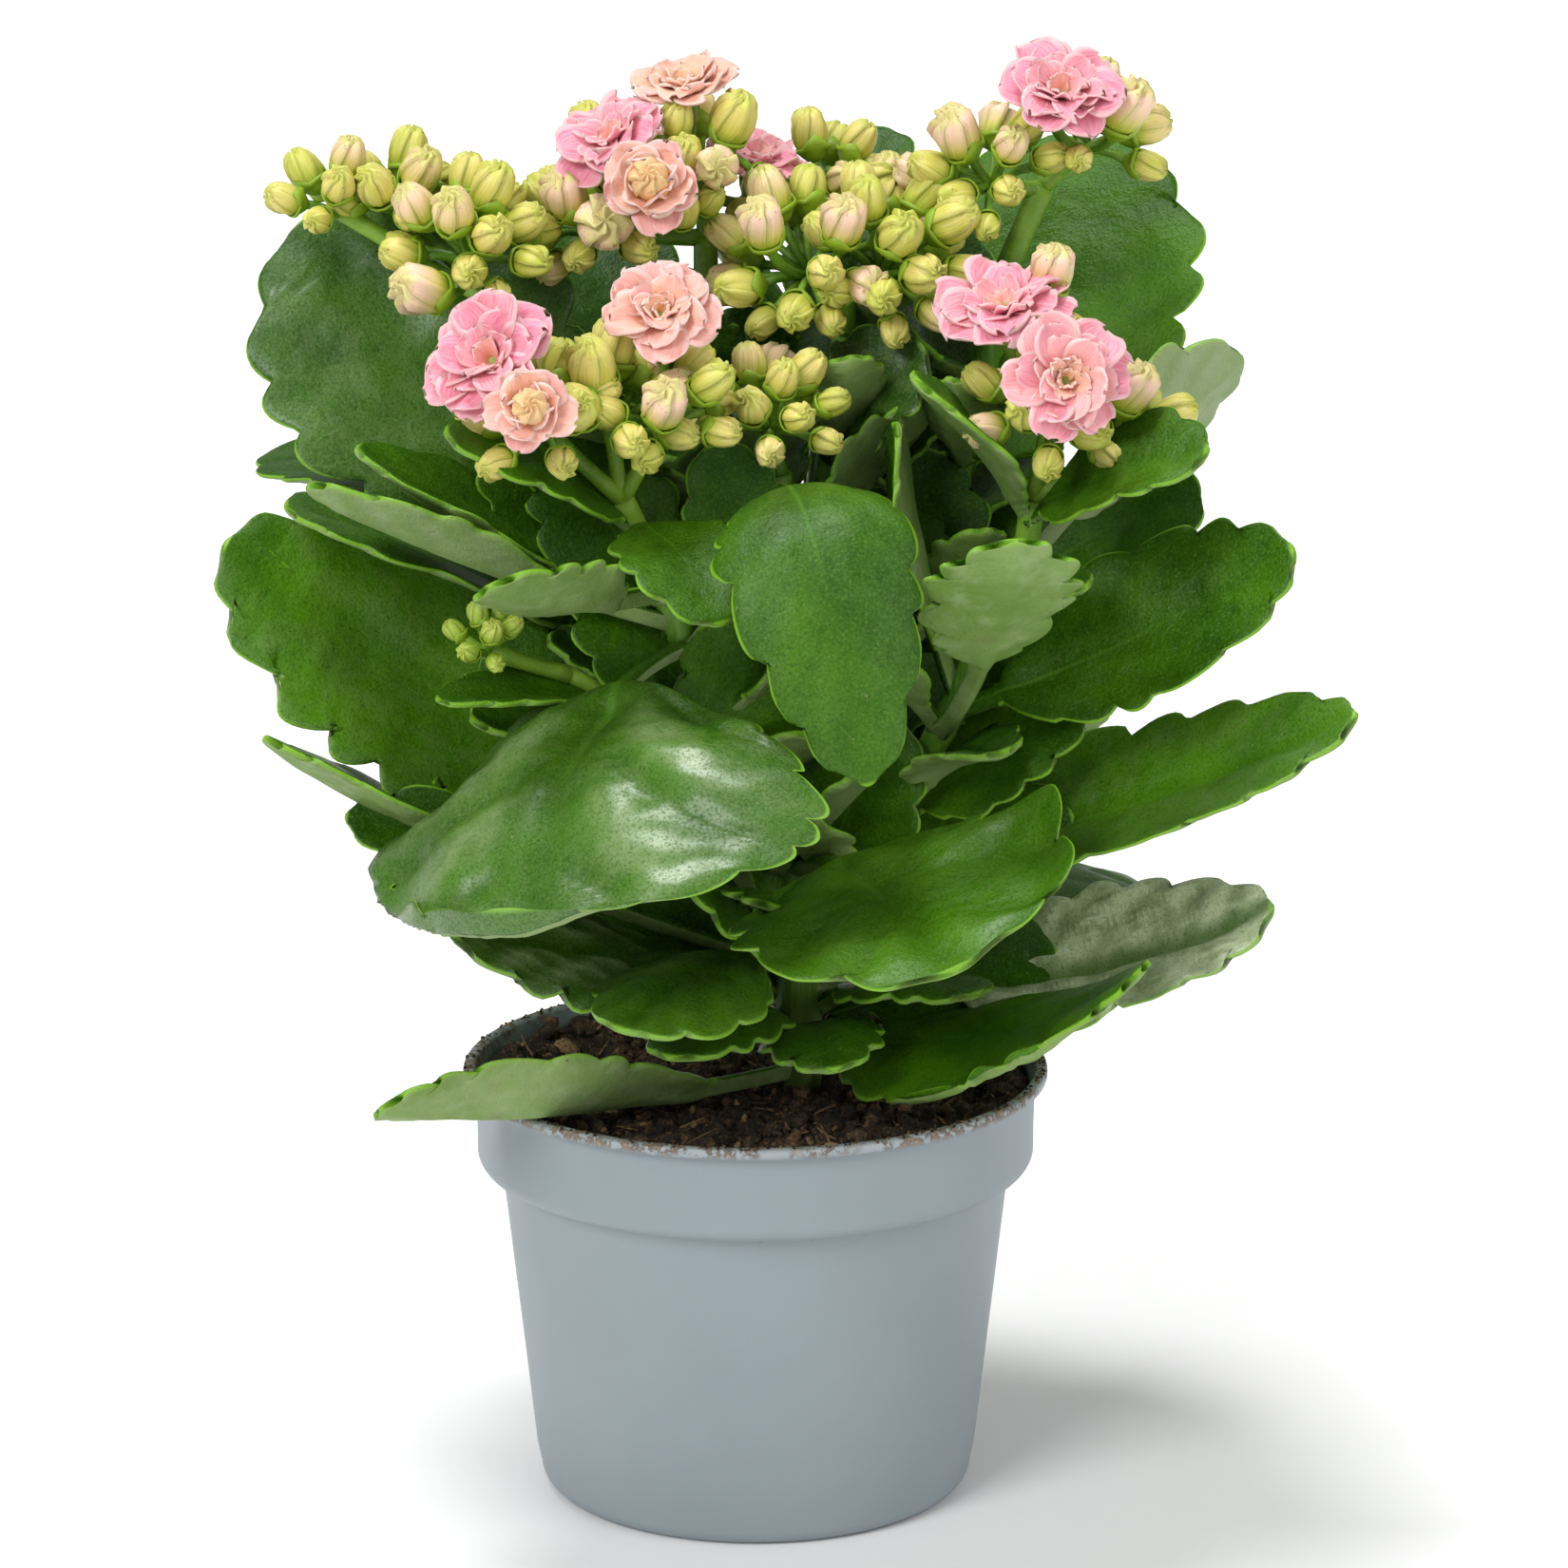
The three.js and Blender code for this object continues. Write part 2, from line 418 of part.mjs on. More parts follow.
// The flower heads. Each one has its stem, the fork where its branches part, and its clusters:
// the cluster's node, the way it leans, how far its buds reach, their spread in degrees, number and size.
const heads = {
  flower_head_1: {
    stem: 'right', fork: [55, -20, 211],
    clusters: [
      { node: [58, -20, 226], lean: [0, -0.4, 1], reach: 12, spread: 90, buds: 7, size: 8.4, blooms: ['bloom_8', 'bloom_9'] },
      { node: [72, -19, 221], lean: [0.5, -0.3, 1], reach: 9, spread: 62, buds: 3, size: 7.5, blooms: [] },
    ],
    bracts: [[[88, -42, 225], 4, 30, 35, 3, 3], [[31, -36, 238], 4, 26, -20, 2, 2]],
  },
  flower_head_2: {
    stem: 'back_right', fork: [58, 25, 266],
    clusters: [
      { node: [49, 22, 270], lean: [-0.6, -0.4, 1], reach: 10, spread: 76, buds: 5, size: 8.5, blooms: [] },
      { node: [66, 24, 274], lean: [0.5, -0.2, 1], reach: 10, spread: 66, buds: 4, size: 8, blooms: ['bloom_7'] },
    ],
    bracts: [],
  },
  flower_head_3: {
    stem: 'left', fork: [-26, -25, 212],
    clusters: [
      { node: [-40, -31, 226], lean: [-0.5, -0.4, 1], reach: 10, spread: 80, buds: 5, size: 8, blooms: ['bloom_4', 'bloom_5'] },
      { node: [-28, -25, 226], lean: [0.1, -0.5, 1], reach: 11, spread: 70, buds: 5, size: 8.5, blooms: [] },
      { node: [-14, -26, 226], lean: [0.3, -0.6, 1], reach: 10, spread: 74, buds: 6, size: 7.5, blooms: ['bloom_6'] },
    ],
    bracts: [[[-60, -38, 228], 4, 28, -25, 3, 2], [[-6, -58, 194], 4, 28, 8, 5, 2]],
  },
  flower_head_4: {
    stem: 'main', fork: [5, -9, 214],
    clusters: [{ node: [5, -11, 220], lean: [0, -0.4, 1], reach: 11, spread: 78, buds: 8, size: 7.4, blooms: [] }],
    bracts: [],
  },
  flower_head_5: {
    stem: 'back', fork: [18, 14, 246],
    clusters: [
      { node: [11, 12, 250], lean: [-0.4, -0.7, 1], reach: 13, spread: 78, buds: 7, size: 8.2, blooms: [] },
      { node: [25, 12, 250], lean: [0.5, -0.7, 1], reach: 13, spread: 74, buds: 5, size: 8.2, blooms: [] },
    ],
    bracts: [],
  },
  flower_head_6: {
    stem: 'back_left', fork: [-10, 25, 256],
    clusters: [
      { node: [-11, 23, 266], lean: [0.1, -0.3, 1], reach: 11, spread: 82, buds: 6, size: 8, blooms: ['bloom_1', 'bloom_2', 'bloom_3', 'bloom_10'] },
      { node: [-32, 21, 257], lean: [-0.3, -0.6, 1], reach: 10, spread: 72, buds: 6, size: 8.2, blooms: [] },
    ],
    bracts: [],
  },
  flower_head_7: {
    stem: 'far_left', fork: [-49, 6, 244],
    clusters: [
      { node: [-57, 6, 252], lean: [-0.2, -0.5, 1], reach: 10, spread: 80, buds: 6, size: 8.4, blooms: [] },
      { node: [-78, 20, 262], lean: [-0.2, -0.2, 1], reach: 10, spread: 76, buds: 6, size: 7.6, blooms: [] },
    ],
    bracts: [],
  },
  flower_head_8: {
    stem: 'far_back', fork: [19, 45, 258],
    clusters: [{ node: [19, 45, 264], lean: [0, -0.2, 1], reach: 10, spread: 76, buds: 5, size: 7.6, blooms: [] }],
    bracts: [],
  },
  flower_head_9: {
    stem: 'left', from: 158, fork: [-37, -26, 177],
    clusters: [{ node: [-52, -35, 183], lean: [-0.2, -0.7, 1], reach: 6, spread: 60, buds: 4, size: 5, blooms: [] }],
    bracts: [[[-62, -44, 176], 4, 14, -20, 2, 2]],
  },
};

// The directions and lengths of a cluster's buds: a dome in golden-angle order, the outer buds smaller.
function budPlaces({ node, lean, reach, spread, buds, size }, seed) {
  const random = dice(seed);
  const toLean = new THREE.Quaternion().setFromUnitVectors(UP, at(lean).normalize());
  return Array.from({ length: buds }, (_, i) => {
    const share = (i + 0.6) / buds;
    const polar = deg(spread) * Math.sqrt(share);
    const turn = i * GOLDEN_TURN + seed;
    const direction = V(Math.sin(polar) * Math.cos(turn), Math.sin(polar) * Math.sin(turn), Math.cos(polar));
    const grown = size * mix(1.08, 0.72, share) * mix(0.94, 1.06, random());
    return { root: at(node), direction: direction.applyQuaternion(toLean), stalk: reach * mix(0.95, 1.1, random()), size: grown };
  });
}

// A bud is left out where an open flower takes its place.
function clearOfBlooms({ root, direction, stalk, size }) {
  const middle = root.clone().addScaledVector(direction, stalk + 0.55 * size);
  return blooms.every(([, centre, faces, radius]) => {
    const axis = at(faces).normalize();
    const offset = middle.clone().sub(at(centre));
    const above = offset.dot(axis);
    const beside = offset.addScaledVector(axis, -above).length();
    const under = -3 - 0.6 * size + 0.35 * Math.min(beside, radius);
    return above < under || beside > radius + 0.55 * size || above > 9 + size;
  });
}

function headSolid(name, spec, index) {
  const stem = stems[spec.stem];
  const foot = spec.from ? onStem(spec.stem, spec.from) : stem.path[stem.path.length - 1];
  const fork = at(spec.fork);
  const lift = fork.clone().sub(foot).normalize().multiplyScalar(spec.from ? stem.radius + 1 : GAP);
  let made = rod(straight(foot.clone().add(lift), fork), spec.from ? 1.6 : 2.4, 6, 1);
  spec.clusters.forEach((cluster, c) => {
    const node = at(cluster.node);
    made = made.add(solid(new THREE.OctahedronGeometry(3.6).translate(node.x, node.y, node.z)));
    const into = fork.clone().addScaledVector(node.clone().sub(fork).normalize(), -1.5);
    made = made.add(rod(straight(into, node), 1.6, 5, 1));
    budPlaces(cluster, 10 * index + c + 1).filter(clearOfBlooms).forEach(({ root, direction, stalk, size }) => {
      made = made.add(solid(stand(budGeometry(stalk, size), root, direction)));
    });
    cluster.blooms.forEach((bloomName) => {
      const [, centre, faces] = blooms.find(([n]) => n === bloomName);
      const axis = at(faces).normalize();
      const seat = at(centre).addScaledVector(axis, -6.5 - GAP);
      const bend = seat.clone().addScaledVector(axis, -0.4 * seat.distanceTo(node));
      made = made.add(rod(new THREE.QuadraticBezierCurve3(node, bend, seat), 1.3, 5, 3));
    });
  });
  spec.bracts.forEach(([tip, petiole, width, roll, arch, cup]) => {
    made = made.add(leafSolid({ root: foot.clone().lerp(fork, 0.6), tip: at(tip), petiole, width, roll, arch, cup, curl: 0 }));
  });
  return made;
}

const plant = new THREE.Group();
plant.add(part('pot', potSolid(), plastic));
plant.add(part('soil', soilSolid(), earth));
plant.add(part('stems', stemSolid(0), stemGreen));
const aroundStems = stemSolid(GAP);
leaves.forEach((row) => plant.add(part(row[0], leafOf(row).subtract(aroundStems), leafGreen)));
Object.entries(heads).forEach(([name, spec], index) => {
  plant.add(part(name, headSolid(name, spec, index).subtract(aroundStems), budYellow));
});
blooms.forEach(([name, centre, faces, radius, rise, tint]) => {
  const body = mainBody(bloomSolid(radius, rise)).getMesh();
  const geometry = new THREE.BufferGeometry();
  geometry.setAttribute('position', new THREE.BufferAttribute(body.vertProperties, 3));
  geometry.setIndex(new THREE.BufferAttribute(body.triVerts, 1));
  const material = tint === 'pink' ? petalPink : petalPeach;
  plant.add(part(name, solid(stand(geometry, at(centre), at(faces))), material));
});

export default plant;
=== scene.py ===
import math
import random

import bmesh
import bpy
from mathutils import Matrix, Quaternion, Vector, noise


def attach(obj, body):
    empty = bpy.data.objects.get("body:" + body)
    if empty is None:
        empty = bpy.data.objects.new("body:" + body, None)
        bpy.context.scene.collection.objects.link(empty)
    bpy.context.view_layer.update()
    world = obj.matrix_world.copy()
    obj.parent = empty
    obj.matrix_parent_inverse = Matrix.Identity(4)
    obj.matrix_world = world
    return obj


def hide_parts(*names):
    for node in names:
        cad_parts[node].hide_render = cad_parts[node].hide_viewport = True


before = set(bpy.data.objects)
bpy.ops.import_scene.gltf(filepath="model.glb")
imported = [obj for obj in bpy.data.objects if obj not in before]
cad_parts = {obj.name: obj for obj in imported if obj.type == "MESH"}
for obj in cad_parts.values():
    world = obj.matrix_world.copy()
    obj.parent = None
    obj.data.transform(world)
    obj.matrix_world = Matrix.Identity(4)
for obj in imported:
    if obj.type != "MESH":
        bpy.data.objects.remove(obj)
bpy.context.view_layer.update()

# The nursery pot: one thin shell of grey-blue polypropylene, injection moulded with a lip, a broad collar
# and drain holes. Peat from potting on the bench sticks to its rim and to the inside above the soil.

MM = 0.001
POT_HEIGHT = 89
RIM_RADIUS = 60
LIP_BOTTOM = 86.8
LIP_ROUND = 0.7
RIM_ROUND = 0.8
COLLAR_TOP_RADIUS = 57.6
COLLAR_LOW_RADIUS = 57
COLLAR_BOTTOM = 68
COLLAR_ROUND = 3.4
BODY_TOP_RADIUS = 52.2
FOOT_RADIUS = 44.6
FOOT_ROUND = 4
WALL = 1.6
POT_TURNS = 144
DRAIN_HOLES = 5
DRAIN_RADIUS = 4
DRAIN_CIRCLE = 30


class Paint:
    """One output in a material's nodes. Sums on it add Math nodes, and node() adds any other node."""

    def __init__(self, tree, socket=None):
        self.tree = tree
        self.socket = socket

    def node(self, kind, settings=None, sockets=None, out=0):
        made = self.tree.nodes.new(kind)
        for name, value in (settings or {}).items():
            if name == "stops":
                ramp = made.color_ramp.elements
                ramp[0].position, ramp[1].position = value[0][0], value[-1][0]
                ramp[0].color, ramp[1].color = (*value[0][1], 1), (*value[-1][1], 1)
                for place, colour in value[1:-1]:
                    ramp.new(place).color = (*colour, 1)
            else:
                setattr(made, name, value)
        for key, value in (sockets or {}).items():
            if isinstance(value, Paint):
                self.tree.links.new(value.socket, made.inputs[key])
            elif made.inputs[key].type == "RGBA":
                made.inputs[key].default_value = (*value, 1)
            else:
                made.inputs[key].default_value = value
        return Paint(self.tree, made.outputs[out])

    def sum(self, operation, first, second):
        return self.node("ShaderNodeMath", {"operation": operation}, {0: first, 1: second})

    def __add__(self, other):
        return self.sum("ADD", self, other)

    def __radd__(self, other):
        return self.sum("ADD", other, self)

    def __sub__(self, other):
        return self.sum("SUBTRACT", self, other)

    def __rsub__(self, other):
        return self.sum("SUBTRACT", other, self)

    def __mul__(self, other):
        return self.sum("MULTIPLY", self, other)

    def __rmul__(self, other):
        return self.sum("MULTIPLY", other, self)

    def __abs__(self):
        return self.sum("ABSOLUTE", self, 0)

    def between(self, low, high):
        """0 below low, 1 above high, and smooth from one to the other."""
        return self.node("ShaderNodeMapRange", {"interpolation_type": "SMOOTHSTEP"},
                         {"Value": self, "From Min": low, "From Max": high})

    def blend(self, low, high):
        """The colour low where this mask is 0, and high where it is 1."""
        return self.node("ShaderNodeMix", {"data_type": "RGBA"}, {0: self, 6: low, 7: high}, 2)

    def coated(self, *coats):
        """This colour under further ones: each coat is a mask and the colour that shows where it is 1."""
        colour = self
        for mask, over in coats:
            colour = mask.blend(colour, over)
        return colour

    def grain(self, scale, detail=2, rough=0.5):
        """Noise at a scale, where this is a place."""
        return self.node("ShaderNodeTexNoise", None,
                         {"Vector": self, "Scale": scale, "Detail": detail, "Roughness": rough})

    def parts(self):
        """The three numbers of a place."""
        split = self.node("ShaderNodeSeparateXYZ", None, {0: self})
        return [Paint(self.tree, o) for o in split.socket.node.outputs]

    def place(self, x, y, z):
        return self.node("ShaderNodeCombineXYZ", None, {0: x, 1: y, 2: z})

    def attribute(self, name):
        """A vector that the mesh carries at each corner."""
        return self.node("ShaderNodeAttribute", {"attribute_name": name}, None, "Vector")

    def bumped(self, height, strength, distance):
        return self.node("ShaderNodeBump", None,
                         {"Height": height, "Strength": strength, "Distance": distance * MM})


def new_finish(name):
    """A material, its shader, the paint that its nodes start from, and the place on the object."""
    material = bpy.data.materials.new(name)
    material.use_nodes = True
    start = Paint(material.node_tree)
    here = start.node("ShaderNodeTexCoord", None, None, "Object")
    return material, material.node_tree.nodes["Principled BSDF"], start, here


def feed(shader, **sockets):
    """Links paints to a shader's sockets and sets the numbers. Base_Color stands for Base Color."""
    for name, value in sockets.items():
        socket = shader.inputs[name.replace("_", " ")]
        if isinstance(value, Paint):
            value.tree.links.new(value.socket, socket)
        else:
            socket.default_value = value


def as_object(name, bm):
    """A shape drawn in millimetres, as an object in metres."""
    bmesh.ops.scale(bm, vec=(MM, MM, MM), verts=bm.verts)
    mesh = bpy.data.meshes.new(name)
    bm.to_mesh(mesh)
    bm.free()
    made = bpy.data.objects.new(name, mesh)
    bpy.context.collection.objects.link(made)
    return made


def add_piece(name, bm, finishes, slot, *nodes):
    """A shape as a smooth piece that rides on the part and stands for its nodes."""
    piece = as_object(name, bm)
    piece.data.shade_smooth()
    for finish in finishes:
        piece.data.materials.append(finish)
    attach(piece, "root")
    if nodes:
        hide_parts(*nodes)
    return piece


def spin_outline(bm, outline, turns):
    """Spins points (radius, height) about the upright axis into a closed shape that faces outwards."""
    verts = [bm.verts.new((radius, 0, height)) for radius, height in outline]
    edges = [bm.edges.new(pair) for pair in zip(verts, verts[1:])]
    bmesh.ops.spin(bm, geom=verts + edges, cent=(0, 0, 0), axis=(0, 0, 1), angle=2 * math.pi,
                   steps=turns, use_merge=True)
    bmesh.ops.remove_doubles(bm, verts=bm.verts, dist=1e-4)
    bmesh.ops.recalc_face_normals(bm, faces=bm.faces)


def arc(centre, radius, first, last, steps):
    """Points on an arc about centre, from the first angle to the last, in degrees."""
    angles = [math.radians(first + (last - first) * k / steps) for k in range(steps + 1)]
    return [(centre[0] + radius * math.cos(a), centre[1] + radius * math.sin(a)) for a in angles]


def around(out, turn, height=0):
    """A place at a distance out from the upright axis and a turn round it."""
    return Vector((out * math.cos(turn), out * math.sin(turn), height))


plastic, shader, start, here = new_finish("grey_blue_plastic")
x, y, height = here.parts()
radius = start.node("ShaderNodeVectorMath", {"operation": "LENGTH"}, {0: start.place(x, y, 0)}, "Value")
cloud = here.grain(28, 3).between(0.3, 0.7)
# Painted highlight: a lighter band along the outer face of the lip.
painted_rim_highlight = height.between(0.0868, 0.0884) * radius.between(0.0580, 0.0588)
speckle = here.grain(520, 5, 0.7)
on_rim = height.between(0.0862, 0.0882) * radius.between(0.0555, 0.0572)
crumbs = speckle.between(0.44, 0.54) * on_rim * here.grain(110, 3).between(0.34, 0.50)
inside = height.between(0.072, 0.080) * (1 - radius.between(0.0560, 0.0566)) * 0.95
smear = here.grain(240, 4).between(0.28, 0.52) * inside
# Painted shade: dark specks under the collar, where it steps out from the body.
painted_collar_shade = height.between(0.0672, 0.0682) * (1 - height.between(0.0684, 0.0694))
collar_shade_specks = here.grain(700, 3).between(0.63, 0.70) * painted_collar_shade
earthy = speckle.between(0.42, 0.72).blend((0.050, 0.028, 0.016), (0.33, 0.26, 0.20))
grey_blue = cloud.blend((0.241, 0.283, 0.310), (0.258, 0.302, 0.331)).coated(
    # the painted highlight on the lip
    (painted_rim_highlight * 0.35, (0.480, 0.500, 0.520)),
    (crumbs, earthy),
    (smear, (0.060, 0.040, 0.028)),
    # the painted shade under the collar
    (collar_shade_specks, (0.10, 0.08, 0.07)),
)
mould_marks = start.place(x * 2.0, y * 2.0, height * 0.25).grain(700, 2)
feed(shader, Base_Color=grey_blue, Roughness=0.43 + 0.35 * crumbs + 0.06 * cloud,
     Normal=start.bumped(mould_marks * 0.3 + crumbs, 0.35, 0.25), Specular_IOR_Level=0.45)

outline = [(0, 0)] + arc((FOOT_RADIUS - FOOT_ROUND, FOOT_ROUND), FOOT_ROUND, -90, 0, 8)
outline += [(FOOT_RADIUS + 0.12 * k * (BODY_TOP_RADIUS - FOOT_RADIUS), 0.12 * k * COLLAR_BOTTOM)
            for k in range(1, 8)]
outline += [(BODY_TOP_RADIUS, COLLAR_BOTTOM - 0.3), (BODY_TOP_RADIUS + 0.25, COLLAR_BOTTOM + 0.15)]
outline += arc((COLLAR_LOW_RADIUS - 3.2, COLLAR_BOTTOM + 3.8), COLLAR_ROUND, -80, 0, 8)
outline += [(COLLAR_LOW_RADIUS + 0.2, COLLAR_BOTTOM + 9), (COLLAR_TOP_RADIUS - 0.2, POT_HEIGHT - 5)]
outline += [(COLLAR_TOP_RADIUS, LIP_BOTTOM - LIP_ROUND)]
outline += arc((COLLAR_TOP_RADIUS + LIP_ROUND, LIP_BOTTOM - LIP_ROUND), LIP_ROUND, 180, 90, 3)
outline += arc((RIM_RADIUS - LIP_ROUND, LIP_BOTTOM + LIP_ROUND), LIP_ROUND, -90, 0, 3)
outline += arc((RIM_RADIUS - RIM_ROUND, POT_HEIGHT - RIM_ROUND), RIM_ROUND, 0, 90, 4)
outline += arc((RIM_RADIUS - WALL - 0.3, POT_HEIGHT - RIM_ROUND), RIM_ROUND, 90, 180, 4)
outline += [(COLLAR_TOP_RADIUS - WALL + 0.3, POT_HEIGHT - 4)]
outline += [(COLLAR_LOW_RADIUS - WALL, COLLAR_BOTTOM + 6.5)]
outline += [(COLLAR_LOW_RADIUS - WALL - 1, COLLAR_BOTTOM + 3)]
outline += [(BODY_TOP_RADIUS - WALL + 0.4, COLLAR_BOTTOM + 1), (BODY_TOP_RADIUS - WALL, COLLAR_BOTTOM)]
outline += [(FOOT_RADIUS - WALL, FOOT_ROUND + 2), (FOOT_RADIUS - FOOT_ROUND, WALL), (0, WALL)]
bm = bmesh.new()
spin_outline(bm, outline, POT_TURNS)
pot = add_piece("pot_shell", bm, [plastic], "pot_plastic", "pot")

bm = bmesh.new()
for k in range(DRAIN_HOLES):
    centre = Matrix.Translation(around(DRAIN_CIRCLE, 2 * math.pi * k / DRAIN_HOLES))
    bmesh.ops.create_cone(bm, cap_ends=True, segments=24, radius1=DRAIN_RADIUS, radius2=DRAIN_RADIUS,
                          depth=4 * WALL, matrix=centre)
drill = as_object("drain_drill", bm)
cut = pot.modifiers.new("drain_holes", "BOOLEAN")
cut.operation = "DIFFERENCE"
cut.object = drill
drilled = pot.evaluated_get(bpy.context.evaluated_depsgraph_get())
pot.data = bpy.data.meshes.new_from_object(drilled)
pot.modifiers.clear()
bpy.data.objects.remove(drill)

# The potting soil: loose dark peat that the plant was potted in, a low uneven dome with crumbs on it
# and lighter wood and coir fibres.

SOIL_EDGE = 81
SOIL_DOME = 2.5
SOIL_RADIUS = 56
BANK_FOOT = 43
BANK_TOP = 55
SOIL_REACH = COLLAR_LOW_RADIUS - WALL + 0.3
SOIL_RINGS = 54
SOIL_TURNS = 190
CRUMBS = 1400
RIM_CRUMBS = 420
FIBRES = 230
UP = Vector((0, 0, 1))


def smooth(low, high, value):
    """0 below low, 1 above high, and smooth from one to the other."""
    share = min(max((value - low) / (high - low), 0), 1)
    return share * share * (3 - 2 * share)


def unit(direction):
    """A direction as a vector with the length 1."""
    return Vector(direction).normalized()


def soil_height(x, y):
    """How high the soil stands at a place."""
    swell = 1.1 * math.sin(0.31 * x + 1.7) * math.cos(0.27 * y) + 0.8 * math.sin(0.52 * y + 0.19 * x)
    lumps = 3.0 * noise.fractal(Vector((x / 6, y / 6, 0)), 0.7, 2.2, 5)
    bank = 3.8 + 2.4 * noise.noise(Vector((x / 14, y / 14, 3)))
    lumps += smooth(BANK_FOOT, BANK_TOP, math.hypot(x, y)) * bank
    return SOIL_EDGE + 0.4 + SOIL_DOME * (1 - (x * x + y * y) / SOIL_RADIUS ** 2) + 0.8 * swell + lumps


def soil_place(reach, chance):
    """A place on the soil by chance, within a reach of its middle."""
    place = around(reach * math.sqrt(chance.random()), chance.uniform(0, 2 * math.pi))
    place.z = soil_height(place.x, place.y)
    return place


def new_shape(*layers):
    """An empty shape whose points carry a vector for each of these names, which the finishes read."""
    bm = bmesh.new()
    for name in layers:
        bm.verts.layers.float_vector.new(name)
    return bm


def take_in(bm, part, finish=0):
    """Moves a small shape into a large one, in one of its finishes. Shaping it there would be slower."""
    for face in part.faces:
        face.material_index = finish
    mesh = bpy.data.meshes.new("part")
    part.to_mesh(mesh)
    part.free()
    bm.from_mesh(mesh)
    bpy.data.meshes.remove(mesh)


def add_blob(bm, place, size, chance):
    """A crumb: a ball of few faces, pressed and dented by chance."""
    part = bmesh.new()
    layer = part.verts.layers.float_vector.new("crumb")
    made = bmesh.ops.create_icosphere(part, subdivisions=1, radius=size)["verts"]
    turn = Quaternion(unit([chance.uniform(-1, 1) for _ in range(3)]), chance.uniform(0, 6))
    squeeze = Vector((chance.uniform(0.7, 1.3), chance.uniform(0.6, 1), chance.uniform(0.5, 0.9)))
    shade = Vector((chance.random(), chance.random(), 0))
    for vert in made:
        vert.co = turn @ (vert.co * squeeze * chance.uniform(0.75, 1.2)) + place
        vert[layer] = shade
    take_in(bm, part)


def add_tube(bm, places, radii, sides, finish=0, crumb=None):
    """A round rod through places, with a radius at each, closed at both ends."""
    part = bmesh.new()
    rings = [bmesh.ops.create_circle(part, segments=sides, radius=1, cap_ends=True)["verts"]]
    edges = part.edges[:]
    for _ in places[1:]:
        new = bmesh.ops.extrude_edge_only(part, edges=edges)["geom"]
        rings.append([g for g in new if isinstance(g, bmesh.types.BMVert)])
        edges = [g for g in new if isinstance(g, bmesh.types.BMEdge)
                 and all(v in rings[-1] for v in g.verts)]
    bmesh.ops.contextual_create(part, geom=edges)
    for k, verts in enumerate(rings):
        ahead = unit(places[min(k + 1, len(places) - 1)] - places[max(k - 1, 0)])
        turn = UP.rotation_difference(ahead) if ahead.z > -0.99 else Quaternion((1, 0, 0), math.pi)
        for vert in verts:
            vert.co = places[k] + turn @ (Vector((vert.co.x, vert.co.y, 0)) * radii[k])
    bmesh.ops.recalc_face_normals(part, faces=part.faces)
    if crumb:
        layer = part.verts.layers.float_vector.new("crumb")
        for vert in part.verts:
            vert[layer] = crumb
    take_in(bm, part, finish)


def add_sliver(bm, place, along, length, wide, chance):
    """A fibre: a thin bent rod with four sides."""
    side = unit(along.cross(UP)) * chance.uniform(-0.28, 0.28) * length
    shares = [-0.5, -0.2, 0.15, 0.5]
    places = [place + along * length * k + side * (0.25 - k * k) for k in shares]
    shade = Vector((chance.uniform(0.4, 1), chance.random(), 1))
    add_tube(bm, places, [wide, wide * 0.9, wide * 0.8, wide * 0.4], 4, crumb=shade)


peat, shader, start, here = new_finish("dark_peat")
clod, blond, fibre = start.attribute("crumb").parts()
clump = here.grain(230, 5, 0.7)
fine = here.grain(1100, 4, 0.7)
ground = start.node("ShaderNodeValToRGB", {"stops": [
    (0.38, (0.0014, 0.0008, 0.0004)), (0.48, (0.0170, 0.0095, 0.0048)),
    (0.56, (0.090, 0.050, 0.022)), (0.64, (0.36, 0.210, 0.100)),
]}, {0: 0.5 * clump + 0.5 * fine})
bright = (clod.between(0.76, 0.92) * 0.9 + fibre * 0.8) * fine.between(0.3, 0.55)
straw = blond.blend((0.10, 0.045, 0.018), (0.44, 0.28, 0.13))
feed(shader, Base_Color=bright.blend(ground, straw), Roughness=0.85 - 0.35 * clump,
     Normal=start.bumped(clump + fine * 0.7, 1, 1.6))

chance = random.Random(11)
bm = new_shape("crumb")
outline = [(0, WALL + 0.3), (FOOT_RADIUS - FOOT_ROUND - 0.5, WALL + 0.3)]
outline += [(BODY_TOP_RADIUS - WALL - 0.8, COLLAR_BOTTOM + 1), (SOIL_REACH - 1, COLLAR_BOTTOM + 7.2)]
outline += [(SOIL_REACH * (1 - k / SOIL_RINGS), SOIL_EDGE) for k in range(SOIL_RINGS + 1)]
spin_outline(bm, outline, SOIL_TURNS)
for vert in bm.verts:
    if vert.co.z > SOIL_EDGE - 0.1:
        vert.co.z = soil_height(vert.co.x, vert.co.y)
for _ in range(CRUMBS):
    place = soil_place(0.985 * SOIL_REACH, chance)
    size = chance.uniform(0.4, 1.1) if chance.random() < 0.72 else chance.uniform(1.1, 2.6)
    add_blob(bm, place + UP * 0.35 * size, size, chance)
for _ in range(RIM_CRUMBS):
    turn = 2 * math.pi * (chance.random() + 0.03 * math.sin(9 * chance.random()))
    out, size = chance.uniform(RIM_RADIUS - 2.2, RIM_RADIUS - 0.3), chance.uniform(0.15, 0.55)
    add_blob(bm, around(out, turn, POT_HEIGHT + 0.1 * size), size, chance)
for _ in range(FIBRES):
    place = soil_place(SOIL_REACH - 4, chance) + UP * 0.6
    along = unit((chance.uniform(-1, 1), chance.uniform(-1, 1), chance.uniform(-0.25, 0.55)))
    add_sliver(bm, place, along, chance.uniform(2.5, 8), chance.uniform(0.14, 0.4), chance)
add_piece("peat", bm, [peat], "potting_soil", "soil")

# The stems: a fleshy main stem that stands in the soil and parts into seven side stems, all one growth.
# They are smooth, light green and a little thicker where a pair of leaves grew.

STEM_STEPS = 26
